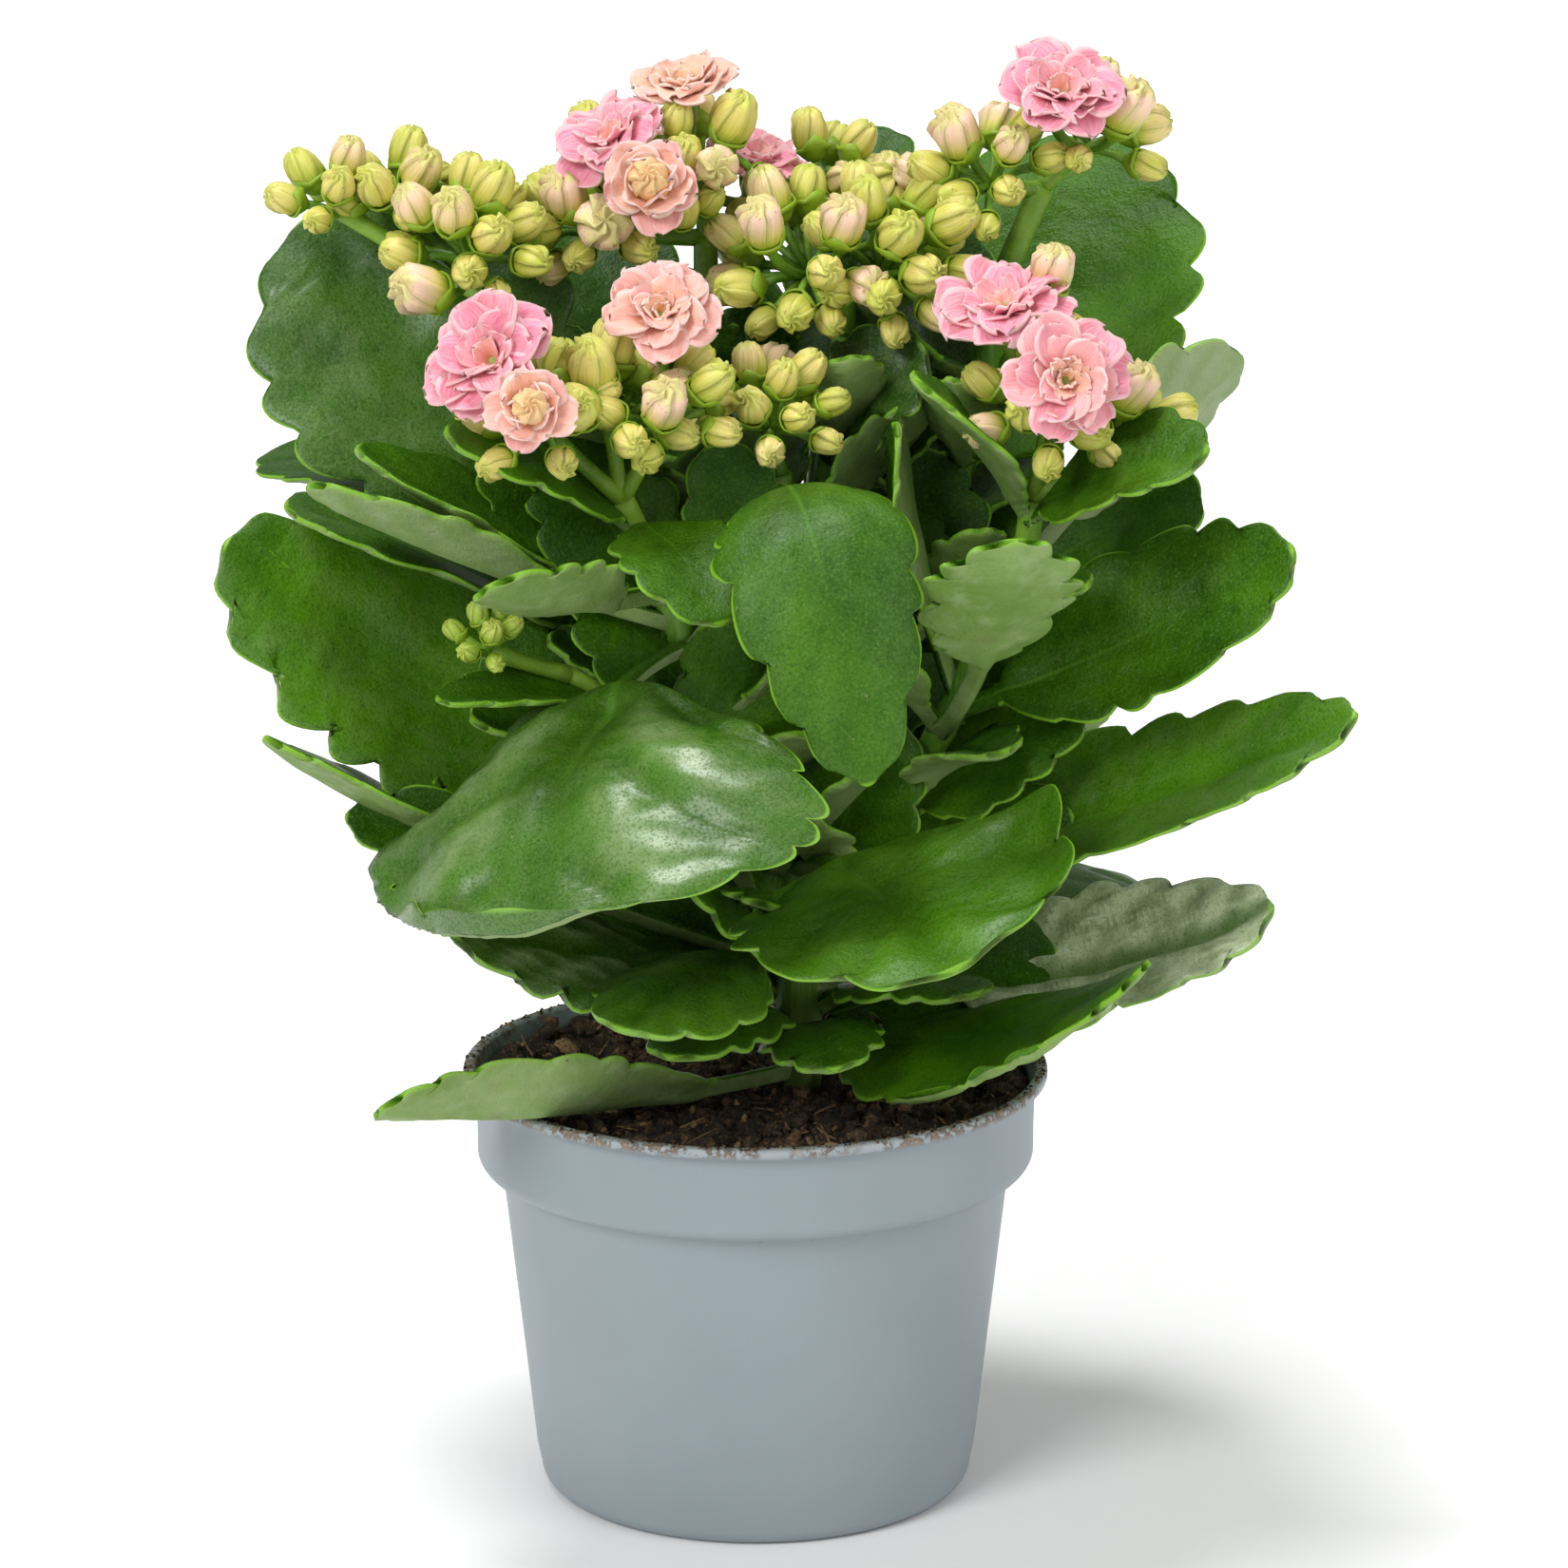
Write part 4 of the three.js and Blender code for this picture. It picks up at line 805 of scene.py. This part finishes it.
# Each open flower: its middle, where it looks, its radius and its kind. The buds keep clear of them.
BLOOMS = {
    "bloom_1": ((-14, 22, 285), (-0.1, -0.22, 1), 10.3, "cup"),
    "bloom_2": ((-28, 12, 276.5), (-0.35, -0.45, 0.8), 11.7, "pink"),
    "bloom_3": ((-20, 0, 269.5), (-0.1, -0.9, 0.45), 9.2, "rose"),
    "bloom_4": ((-50, -40, 242), (-0.35, -0.75, 0.5), 14, "pink"),
    "bloom_5": ((-42.5, -52, 235), (0, -1, 0.3), 8, "rose"),
    "bloom_6": ((-18, -24, 248), (0, -0.75, 0.65), 11.4, "coral"),
    "bloom_7": ((61, 12, 286), (0.1, -0.6, 0.8), 12.2, "pink"),
    "bloom_8": ((49, -20, 247.5), (-0.15, -0.4, 0.9), 13, "pink"),
    "bloom_9": ((60, -42, 238.5), (0.1, -0.9, 0.4), 12.3, "open"),
    "bloom_10": ((0, 28, 270), (0.2, -0.3, 0.9), 10, "pink"),
}
# Each head: the stem that carries it, the height where it leaves that stem if that isn't its top, the
# fork where its branches part, its clusters and its bracts. A cluster has its middle, the way it leans,
# how far its buds reach, their spread in degrees, their number and size, and the open flowers on it. A
# bract has its tip, its stalk's length, its width, roll, arch and cup.
HEADS = {
    "flower_head_1": ("right", None, (55, -20, 211), [
        ((58, -20, 226), (0, -0.4, 1), 12, 96, 16, 8.8, ["bloom_8", "bloom_9"]),
        ((72, -19, 221), (0.5, -0.3, 1), 9, 74, 9, 8.4, []),
    ], [((88, -42, 225), 4, 30, 35, 3, 3), ((31, -36, 238), 4, 26, -20, 2, 2)]),
    "flower_head_2": ("back_right", None, (58, 25, 266), [
        ((48, 20, 267), (-0.6, -0.5, 1), 10, 88, 14, 8.8, []),
        ((66, 24, 274), (0.5, -0.2, 1), 10, 84, 11, 9.0, ["bloom_7"]),
    ], []),
    "flower_head_3": ("left", None, (-26, -25, 212), [
        ((-40, -31, 226), (-0.5, -0.4, 1), 10, 88, 10, 9.2, ["bloom_4", "bloom_5"]),
        ((-28, -25, 226), (0.1, -0.5, 1), 11, 78, 11, 9.6, []),
        ((-18, -26, 226), (0.2, -0.6, 1), 10, 82, 10, 8.6, ["bloom_6"]),
    ], [((-60, -38, 228), 4, 28, -25, 3, 2), ((-6, -58, 194), 4, 28, 8, 5, 2)]),
    "flower_head_4": ("main", None, (5, -9, 214), [
        ((3, -11, 223), (-0.1, -0.4, 1), 10.5, 84, 14, 7.8, []),
    ], []),
    "flower_head_5": ("back", None, (18, 14, 246), [
        ((11, 12, 250), (-0.4, -0.7, 1), 13, 88, 20, 9.2, []),
        ((25, 12, 250), (0.5, -0.7, 1), 13, 86, 17, 9.2, []),
    ], []),
    "flower_head_6": ("back_left", None, (-10, 25, 256), [
        ((-11, 23, 266), (0.1, -0.3, 1), 11, 90, 12, 8.2, ["bloom_1", "bloom_2", "bloom_3", "bloom_10"]),
        ((-32, 21, 257), (-0.3, -0.6, 1), 10, 84, 15, 9.2, []),
        ((-6, 20, 274), (0.3, -0.5, 1), 9, 88, 11, 8.6, []),
    ], []),
    "flower_head_7": ("far_left", None, (-49, 6, 244), [
        ((-57, 6, 254), (-0.1, -0.5, 1), 11, 88, 17, 9.2, []),
        ((-71, 20, 261), (0.1, -0.3, 1), 8.5, 84, 10, 8.4, []),
        ((-83.5, 18, 261.5), (-0.2, -0.2, 1), 8, 74, 8, 7.8, []),
    ], []),
    "flower_head_8": ("far_back", None, (19, 45, 258), [
        ((14, 45, 259.5), (-0.1, -0.2, 1), 10, 84, 13, 8.6, []),
        ((27, 45, 254), (0.4, -0.2, 1), 8, 80, 8, 7.8, []),
    ], []),
    "flower_head_9": ("left", 158, (-37, -26, 177), [
        ((-52, -35, 183), (-0.2, -0.7, 1), 6, 66, 7, 5, []),
    ], [((-62, -44, 176), 4, 14, -20, 2, 2)]),
}
# The large buds that stand out: where each is seated, where it looks, its size and how peach its tip
# is. Those with a peach tip are about to open.
LARGE_BUDS = {
    "flower_head_1": [
        ((72, -24, 229), (0.4, -0.3, 1), 10, 0.95),
        ((58, -12, 250), (0.1, -0.2, 1), 9.5, 0.95),
    ],
    "flower_head_2": [
        ((43, 16, 274), (-0.5, -0.5, 0.9), 10.5, 0.95),
        ((72, 18, 278), (0.4, -0.3, 1), 11, 0.95),
    ],
    "flower_head_3": [((-18, -34, 229), (0.1, -0.7, 0.8), 10, 0.95)],
    "flower_head_5": [
        ((17, 2, 258), (0.1, -0.5, 1), 10, 0.95),
        ((3, 0, 258), (-0.3, -0.5, 1), 10, 0.95),
    ],
    "flower_head_6": [
        ((-36, 12, 262), (-0.4, -0.5, 1), 10, 0.95),
        ((-6, 17, 276), (0.3, -0.3, 1), 10.5, 0.3),
        ((-32.5, 24, 274), (-0.2, -0.2, 1), 9, 0.2),
        ((-15, 13, 270), (0.1, -0.6, 0.8), 9.5, 0.25),
        ((-15.6, 15, 277), (0, -0.2, 1), 7.5, 0.1),
        ((-15, 10, 261.5), (0.1, -0.7, 0.6), 8.2, 0.2),
        ((-10, 11, 263.5), (0.3, -0.6, 0.7), 6.5, 0),
    ],
    "flower_head_7": [((-61, -4, 249), (-0.8, -0.6, 0.25), 11, 0.95)],
}
ABOUT_TO_OPEN = 0.5
TUBE_LENGTH = 6.3
BUD_OUTLINE = [(0, 0), (0.20, 0.02), (0.32, 0.13), (0.39, 0.30), (0.42, 0.50), (0.41, 0.70), (0.36, 0.87),
               (0.26, 1.00), (0.15, 1.05), (0.07, 1.10), (0, 1.08)]
# The four points across each of a bud's petals, from its covered edge to the one that covers the next.
LAPS = (0, 0.36, 0.72, 0.98)
CALYX_OUTLINE = [(0, -0.12), (0.17, -0.11), (0.28, 0.0), (0.385, 0.13), (0.435, 0.27), (0.455, 0.50),
                 (0.42, 0.50), (0.34, 0.20), (0, 0.1)]
STALKS, BUDS, BRACTS = 0, 1, 2


def add_stalk(bm, foot, bend, end, radii, sides):
    """A stalk on the bow from its foot to its end, with radii at even steps."""
    add_tube(bm, curve_points(foot, bend, end, len(radii) - 1), radii, sides, STALKS)


def stand(verts, place, direction, spin=0):
    """Turns vertices drawn along +Z to look along a direction, at a place."""
    turn = UP.rotation_difference(unit(direction)) @ Quaternion(UP, spin)
    for vert in verts:
        vert.co = place + turn @ vert.co


def add_bud(bm, place, direction, size, blush, spin, opened=0, petals=6):
    """A bud: a blunt egg whose skin steps from each petal over the next, with a spiral of tips on top."""
    part = bmesh.new()
    layer = part.verts.layers.float_vector.new("bud")
    corners = petals * len(LAPS)
    spin_outline(part, BUD_OUTLINE, corners)
    for vert in part.verts:
        out, share = math.hypot(vert.co.x, vert.co.y), vert.co.z
        corner = round(math.atan2(vert.co.y, vert.co.x) / (2 * math.pi) * corners) % corners
        petal, point = divmod(corner, len(LAPS))
        phase = LAPS[point]
        turn = 2 * math.pi * (petal + phase) / petals + 0.7 * share + (0.6 if out < 0.2 else 0)
        top = smooth(0.6, 0.95, share)
        out *= (0.95 + 0.15 * phase * smooth(0.08, 0.4, share)) * (1 + opened * top * 0.55)
        share += 0.15 * (phase - 0.35) * top * smooth(0.02, 0.1, out)
        vert.co = around(out, turn, share) * size
        vert[layer] = Vector((share, phase, blush))
    stand(part.verts, place, direction, spin)
    take_in(bm, part, BUDS)


def add_calyx(bm, place, direction, size, spin):
    """Four pointed sepals joined in a cup that holds the bud's lower part."""
    part = bmesh.new()
    layer = part.verts.layers.float_vector.new("bud")
    spin_outline(part, CALYX_OUTLINE, 16)
    for vert in part.verts:
        turn = math.atan2(vert.co.y, vert.co.x)
        pointed = max(0, math.cos(2 * turn)) ** 1.3
        if vert.co.z > 0.15:
            vert.co.z *= 0.45 + 0.55 * pointed
        vert.co *= size
        vert[layer] = Vector((0, 0, 1))
    stand(part.verts, place, direction, spin)
    take_in(bm, part, STALKS)


def bud_places(cluster, seed):
    """Where a cluster's buds stand: a dome in golden-angle order, the outer ones smaller."""
    node, lean, reach, spread, buds, size = cluster[:6]
    chance = random.Random(seed)
    to_lean = UP.rotation_difference(unit(lean))
    for k in range(buds):
        share = (k + 0.6) / buds
        polar, turn = math.radians(spread) * math.sqrt(share), k * GOLDEN_TURN + seed
        direction = to_lean @ around(math.sin(polar), turn, math.cos(polar))
        grown = size * (1.10 - 0.36 * share) * chance.uniform(0.9, 1.06)
        yield Vector(node), direction, reach * chance.uniform(0.85, 1.12), grown, chance


def clear_of_blooms(root, direction, stalk, size):
    """False where an open flower or a large bud takes a bud's place."""
    middle = root + direction * (stalk + 0.55 * size)
    for seat, faces, large, _ in sum(LARGE_BUDS.values(), []):
        if (middle - Vector(seat) - unit(faces) * 0.5 * large).length < 0.44 * (size + large):
            return False
    for centre, faces, radius, _ in BLOOMS.values():
        axis = unit(faces)
        offset = middle - Vector(centre)
        above = offset.dot(axis)
        beside = (offset - axis * above).length
        under = -3 - 0.6 * size + 0.35 * min(beside, radius)
        if under <= above <= 9 + size and beside <= radius + 0.45 * size:
            return False
    return True


bud_wax, shader, start, here = new_finish("bud_wax")
share, phase, blush = start.attribute("bud").parts()
tint = here.grain(150, 3)
veins = start.place(phase * 16, share * 1.6, blush * 4).grain(1.0, 3)
# Painted shade: darker green where each petal lies under the edge of the one before it.
painted_lap_shade = (1 - phase.between(0.0, 0.20)) * share.between(0.1, 0.4)
lap = phase.between(0.84, 0.98) * share.between(0.3, 0.6)
golden = blush.between(1.0, 1.4)
tips = share.between(0.94, 1.06) * (1 - golden)
brown = share.between(0.80, 0.98) * here.grain(900, 3, 0.7).between(0.60, 0.66)
wax = share.between(0.12, 0.50).blend((0.340, 0.460, 0.015), (0.620, 0.580, 0.090)).coated(
    (share.between(0.30, 0.8) * tint.between(0.32, 0.58) * 0.85, (0.780, 0.650, 0.200)),
    ((1 - blush.between(0.04, 0.20)) * 0.40, (0.420, 0.530, 0.030)),
    (share.between(0.30, 0.90) * blush.between(0.25, 1.0), (0.930, 0.610, 0.480)),
    ((0 - blush).between(0, 1) * 0.8, (0.230, 0.430, 0.020)),
    (veins.between(0.50, 0.66) * 0.38, (0.450, 0.520, 0.050)),
    ((1 - veins.between(0.34, 0.48)) * 0.35, (0.860, 0.780, 0.330)),
    (painted_lap_shade * 0.55, (0.360, 0.410, 0.020)),
    (lap * 0.45, (0.840, 0.800, 0.310)),
    (golden * 0.85, veins.blend((0.780, 0.400, 0.120), (0.950, 0.700, 0.360))),
    (tips * 0.5, (0.560, 0.640, 0.090)),
    (brown * 0.65, (0.300, 0.130, 0.030)),
)
feed(shader, Base_Color=wax, Roughness=0.40 + 0.1 * tint,
     Normal=start.bumped(here.grain(1300, 2) * 0.3 + veins * 0.8, 0.5, 0.3))

stalk_skin, shader, start, here = new_finish("flower_stalk_skin")
tint = here.grain(90, 3).between(0.3, 0.7)
on_calyx = start.attribute("bud").parts()[2]
skin = tint.blend((0.095, 0.230, 0.012), (0.220, 0.400, 0.026)).coated(
    (here.grain(1400, 2).between(0.5, 0.75) * 0.4, (0.340, 0.500, 0.080)),
    (on_calyx * 0.75, (0.290, 0.430, 0.016)),
)
feed(shader, Base_Color=skin, Roughness=0.45 + 0.1 * tint,
     Normal=start.bumped(here.grain(1700, 2), 0.3, 0.2))

for index, (name, (stem, leaves_at, fork, clusters, bracts)) in enumerate(HEADS.items()):
    bm = new_shape("blade", "tone", "bud")
    foot = on_stem(stem, leaves_at) if leaves_at else Vector(STEMS[stem][1][-1])
    fork = Vector(fork)
    add_stalk(bm, foot, (foot + fork) / 2, fork, [1.6 if leaves_at else 2.5] * 7, 12)
    for c, cluster in enumerate(clusters):
        node = Vector(cluster[0])
        lean = unit(cluster[1])
        bend = (fork + node) / 2 - lean * 1.5 + UP * 0.5
        add_stalk(bm, fork, bend, node + lean * 1.5, [1.9, 1.7, 1.6, 1.6, 1.8, 2.2], 10)
        for root, direction, stalk, size, chance in bud_places(cluster, 10 * index + c + 1):
            blush = chance.uniform(0.0, 0.35) if chance.random() < 0.72 else chance.uniform(0.5, 0.95)
            blush = blush * smooth(5, 7.5, size) - smooth(6.5, 4.5, size)
            spin = chance.uniform(0, 6)
            if not clear_of_blooms(root, direction, stalk, size):
                continue
            seat = root + direction * stalk
            out_of = root + direction * stalk * 0.5 + lean * stalk * 0.16
            add_stalk(bm, root, out_of, seat, [1.1, 0.85, 0.85, 1.1], 6)
            add_calyx(bm, seat, direction, size, spin)
            opened = chance.uniform(0.5, 1) if blush > 0.82 else 0
            add_bud(bm, seat, direction, size * (1 + 0.15 * opened), blush, spin + 0.4, opened)
        for bloom in cluster[6]:
            centre, faces = Vector(BLOOMS[bloom][0]), unit(BLOOMS[bloom][1])
            seat = centre - faces * TUBE_LENGTH
            bend = seat - faces * 0.4 * (seat - node).length
            add_stalk(bm, node, bend, seat, [1.5, 1.3, 1.2, 1.2, 1.2, 1.3, 1.7], 8)
    for seat, faces, size, blush in LARGE_BUDS.get(name, []):
        seat, faces = Vector(seat), unit(faces)
        near = min((Vector(other[0]) for other in clusters), key=lambda end: (end - seat).length)
        bend = seat - faces * 0.4 * (seat - near).length
        add_stalk(bm, near, bend, seat, [1.2, 1.1, 1.0, 1.0, 1.1, 1.3], 6)
        add_calyx(bm, seat, faces, size * 0.92, seat.x)
        add_bud(bm, seat, faces, size, blush, seat.x + 0.4, 0.4 if blush > ABOUT_TO_OPEN else 0)
    for b, (tip, petiole, width, roll, arch, cup) in enumerate(bracts):
        add_leaf(bm, foot.lerp(fork, 0.6), tip, petiole, width, roll, arch, cup, 0, 0.5, 0.12, quilt=0.7,
                 rows=48, columns=12, seed=50 + 3 * index + b, finish=BRACTS)
    add_piece("umbel_" + name[-1], bm, [stalk_skin, bud_wax, leaf_skin], "bud_yellow_green", name)

# The open flowers: double ones, with fourteen to thirty ruffled petals in three to five rings round a
# tight middle, on a yellow-green tube. The ripe ones are pink with pale edges, and the young ones peach.

PETAL_THICK = 0.45
PETAL_FOOT = 0.8
PETAL_STEPS = 16
TUBE_OUTLINE = [(0, -6.4), (1.5, -6.3), (2.2, -5), (2.0, -3), (1.9, -1.2), (2.4, 0.2), (0, 1.6)]
PETALS = 2
# Each kind: its rings of petals from the outside in. A ring has its number of petals, their length as a
# share of the flower's radius, their width as a share of their length, how steeply they leave the middle
# and how steeply they end, in degrees, and how peach they are.
BLOOM_KINDS = {
    "pink": [(6, 1.05, 0.86, 38, -12, 0.0), (6, 0.95, 0.84, 48, 2, 0.0), (6, 0.80, 0.82, 58, 16, 0.05),
             (5, 0.60, 0.80, 70, 34, 0.15), (5, 0.42, 0.80, 80, 52, 0.45)],
    "open": [(6, 1.03, 0.84, 36, -8, 0.15), (6, 0.92, 0.84, 46, 8, 0.2), (6, 0.78, 0.82, 56, 30, 0.25),
             (6, 0.55, 0.70, 66, 50, 0.7), (6, 0.36, 0.55, 78, 66, 1.0)],
    "coral": [(5, 1.04, 0.88, 40, -2, 0.5), (6, 0.94, 0.86, 50, 10, 0.55), (6, 0.74, 0.84, 62, 34, 0.6),
              (5, 0.52, 0.78, 74, 58, 0.85), (4, 0.36, 0.70, 84, 74, 1.0)],
    "rose": [(5, 1.12, 0.98, 50, 0, 0.55), (5, 1.04, 1.06, 64, 30, 0.65), (4, 0.98, 1.20, 80, 62, 0.8)],
    "cup": [(5, 1.12, 0.96, 40, -2, 0.8), (6, 1.02, 0.90, 48, 10, 0.75), (6, 0.88, 0.86, 58, 24, 0.8),
            (5, 0.70, 0.80, 70, 44, 0.9), (4, 0.50, 0.80, 80, 64, 1.0)],
}


def petal_half(s):
    """Half a petal's width at s along it: a narrow claw that widens to a round end."""
    if s < 0.58:
        return 0.26 + 0.74 * smooth(0, 0.58, s)
    return max(0.06, math.sqrt(max(0, 1 - ((s - 0.58) / 0.42) ** 2.4)))


def add_petal(bm, length, wide, rise, droop, turn, peach, chance):
    """A thin petal that leaves the flower's middle steeply and bends outwards, with a ruffled edge."""
    part = bmesh.new()
    layer = part.verts.layers.float_vector.new("petal")
    two_sided(part, 8, 10)
    line, slope = [Vector((PETAL_FOOT, 0, 0))], []
    for k in range(PETAL_STEPS):
        angle = math.radians(rise + (droop - rise) * ((k + 0.5) / PETAL_STEPS) ** 0.8)
        slope.append(angle)
        line.append(line[-1] + Vector((math.cos(angle), 0, math.sin(angle))) * length / PETAL_STEPS)
    shift, waves = chance.uniform(0, 6), chance.uniform(2.2, 4.2)
    wave_height = chance.uniform(0.07, 0.15)
    cupping, tilt = chance.uniform(0.02, 0.20), chance.uniform(-0.35, 0.35)
    spin = Quaternion(UP, turn)
    for vert in part.verts:
        q, s, upper = vert.co.x, (vert.co.y + 1) / 2, vert.co.z > -0.5
        s = 1 - (1 - s) ** 1.35
        s *= 1 - 0.07 * smooth(0.5, 1, s) * (0.5 + 0.5 * math.sin(5.5 * q + 2 * shift))
        edge = 0.07 * math.sin(9 * s + shift) * smooth(0.4, 0.9, abs(q)) * smooth(0.3, 0.8, s)
        half = wide * length / 2 * (petal_half(s) + edge)
        k = min(int(s * PETAL_STEPS), PETAL_STEPS - 1)
        at = line[k].lerp(line[k + 1], s * PETAL_STEPS - k)
        normal = Vector((-math.sin(slope[k]), 0, math.cos(slope[k])))
        ruffle = wave_height * length * math.sin(waves * 2 * s + 2.2 * q + shift) * abs(q) ** 1.4 * s
        ruffle += 0.045 * length * math.sin(4.5 * q + 1.7 * shift) * smooth(0.55, 1, s)
        hollow = cupping * length * q * q * (1 - 0.7 * s)
        hollow -= 0.05 * length * math.exp(-(q / 0.18) ** 2) * s
        lift = hollow + ruffle + tilt * q * half + (PETAL_THICK / 2 if upper else -PETAL_THICK / 2)
        vert.co = spin @ (at + Vector((0, q * half, 0)) + normal * lift)
        vert[layer] = Vector((s, q, peach))
    take_in(bm, part, PETALS)


petal_silk, shader, start, here = new_finish("petal_silk")
s, q, peach = start.attribute("petal").parts()
edge = 1 - (1 - abs(q).between(0.72, 1.0)) * (1 - s.between(0.86, 1.0))
veins = start.place(q * 9, s * 1.1, peach).grain(3.0, 3, 0.6)
pink = s.between(0.1, 0.7).blend((0.760, 0.120, 0.200), (0.850, 0.280, 0.390)).coated(
    (veins.between(0.46, 0.62) * 0.6, (0.890, 0.480, 0.560)),
    ((1 - veins.between(0.34, 0.46)) * 0.65, (0.740, 0.110, 0.210)),
)
apricot = s.between(0.1, 0.9).blend((0.850, 0.520, 0.170), (0.870, 0.520, 0.330)).coated(
    (veins.between(0.45, 0.65) * 0.55, (0.920, 0.660, 0.440)),
)
fade = here.grain(1100, 3).between(0.66, 0.74) * edge
skin = peach.blend(pink, apricot).coated(
    (edge * 0.62, (0.930, 0.690, 0.650)),
    ((1 - s.between(0.02, 0.20)) * 0.8, (0.700, 0.640, 0.240)),
    (fade * 0.6, (0.480, 0.230, 0.110)),
)
feed(shader, Base_Color=skin, Roughness=0.55 + 0.1 * veins,
     Normal=start.bumped(veins + here.grain(2100, 2) * 0.3, 0.35, 0.3), Sheen_Weight=0.2)

tube_skin, shader, start, here = new_finish("flower_tube_skin")
tint = here.grain(200, 3).between(0.3, 0.7)
skin = tint.blend((0.240, 0.400, 0.060), (0.430, 0.510, 0.130))
feed(shader, Base_Color=skin, Roughness=0.5 + 0.1 * tint,
     Normal=start.bumped(here.grain(1500, 2), 0.3, 0.2))

for number, (name, (centre, faces, radius, kind)) in enumerate(BLOOMS.items()):
    chance = random.Random(100 + number)
    bm = new_shape("petal")
    spin_outline(bm, TUBE_OUTLINE, 12)
    for k in range(4):
        sepal = bmesh.ops.create_uvsphere(bm, u_segments=8, v_segments=6, radius=1)["verts"]
        stretch = Matrix.Rotation(k * math.pi / 2, 4, "Z") @ Matrix.Translation((2.2, 0, -3.2))
        stretch = stretch @ Matrix.Rotation(0.22, 4, "Y") @ Matrix.Diagonal((0.45, 1.35, 3.2, 1))
        bmesh.ops.transform(bm, matrix=stretch, verts=sepal)
    for ring, (count, share, wide, rise, droop, peach) in enumerate(BLOOM_KINDS[kind]):
        for k in range(count):
            turn = 2 * math.pi * (k + 0.5 * (ring % 2)) / count
            turn += chance.uniform(-0.22, 0.22) + 0.3 * ring
            add_petal(bm, radius * share * chance.uniform(0.88, 1.06), wide * chance.uniform(0.9, 1.08),
                      rise + chance.uniform(-8, 8), droop + chance.uniform(-16, 14), turn,
                      min(1, max(0, peach + chance.uniform(-0.12, 0.12))), chance)
    if kind == "rose":
        bm.verts.layers.float_vector.new("bud")
        add_bud(bm, Vector((0, 0, 0.4)), UP, radius, 1.4, 0, 0.2, 7)
    stand(bm.verts, Vector(centre), faces, chance.uniform(0, 6))
    slot = "petal_peach" if kind in ("rose", "cup", "coral") else "petal_pink"
    add_piece("double_" + name, bm, [tube_skin, bud_wax, petal_silk], slot, name)

# The stage: a pale floor that fills the picture, even soft light from two sides and above, and the
# camera where the photograph was taken from.

FLOOR_HALF = 8000
floor_finish, shader, start, here = new_finish("pale_floor")
paper = here.grain(3, 2).blend((0.93, 0.93, 0.93), (0.955, 0.955, 0.955))
feed(shader, Base_Color=paper, Roughness=0.9)
bm = bmesh.new()
bmesh.ops.create_grid(bm, x_segments=1, y_segments=1, size=FLOOR_HALF)
floor = as_object("studio_floor", bm)
floor.data.materials.append(floor_finish)

AIR_LIGHT = 0.30
air = bpy.data.worlds.new("studio_air")
bpy.context.scene.world = air
air.use_nodes = True
background = air.node_tree.nodes["Background"].inputs
background["Color"].default_value = (1, 1, 1, 1)
background["Strength"].default_value = AIR_LIGHT
# Each light: its name, where it stands, how wide its sun is in degrees, and its power.
for name, place, spread, power in [
    ("top_light", (-0.20, 0.06, 1.0), 20, 2.1),
    ("key_light", (-0.70, -0.95, 0.80), 26, 1.65),
    ("fill_light", (0.95, -0.75, 0.7), 50, 0.85),
]:
    lamp = bpy.data.lights.new(name, "SUN")
    lamp.angle = math.radians(spread)
    lamp.energy = power
    panel = bpy.data.objects.new(name, lamp)
    panel.location = place
    panel.rotation_euler = (-Vector(place)).to_track_quat("-Z", "Y").to_euler()
    bpy.context.collection.objects.link(panel)

PHOTO_PIXELS = 1650
FOCAL_PIXELS = 6414
SENSOR = 36
CAMERA_PLACE = (0.00587, -1.2, 0.4517)
CAMERA_DOWN = 0.2479
lens = bpy.data.cameras.new("photo_camera")
lens.sensor_width = SENSOR
lens.lens = FOCAL_PIXELS / PHOTO_PIXELS * SENSOR
lens.clip_start = 0.05
lens.clip_end = 50
camera = bpy.data.objects.new("photo_camera", lens)
camera.location = CAMERA_PLACE
camera.rotation_euler = (math.pi / 2 - CAMERA_DOWN, 0, 0)
bpy.context.collection.objects.link(camera)
bpy.context.scene.camera = camera
bpy.context.scene.view_settings.view_transform = "Standard"
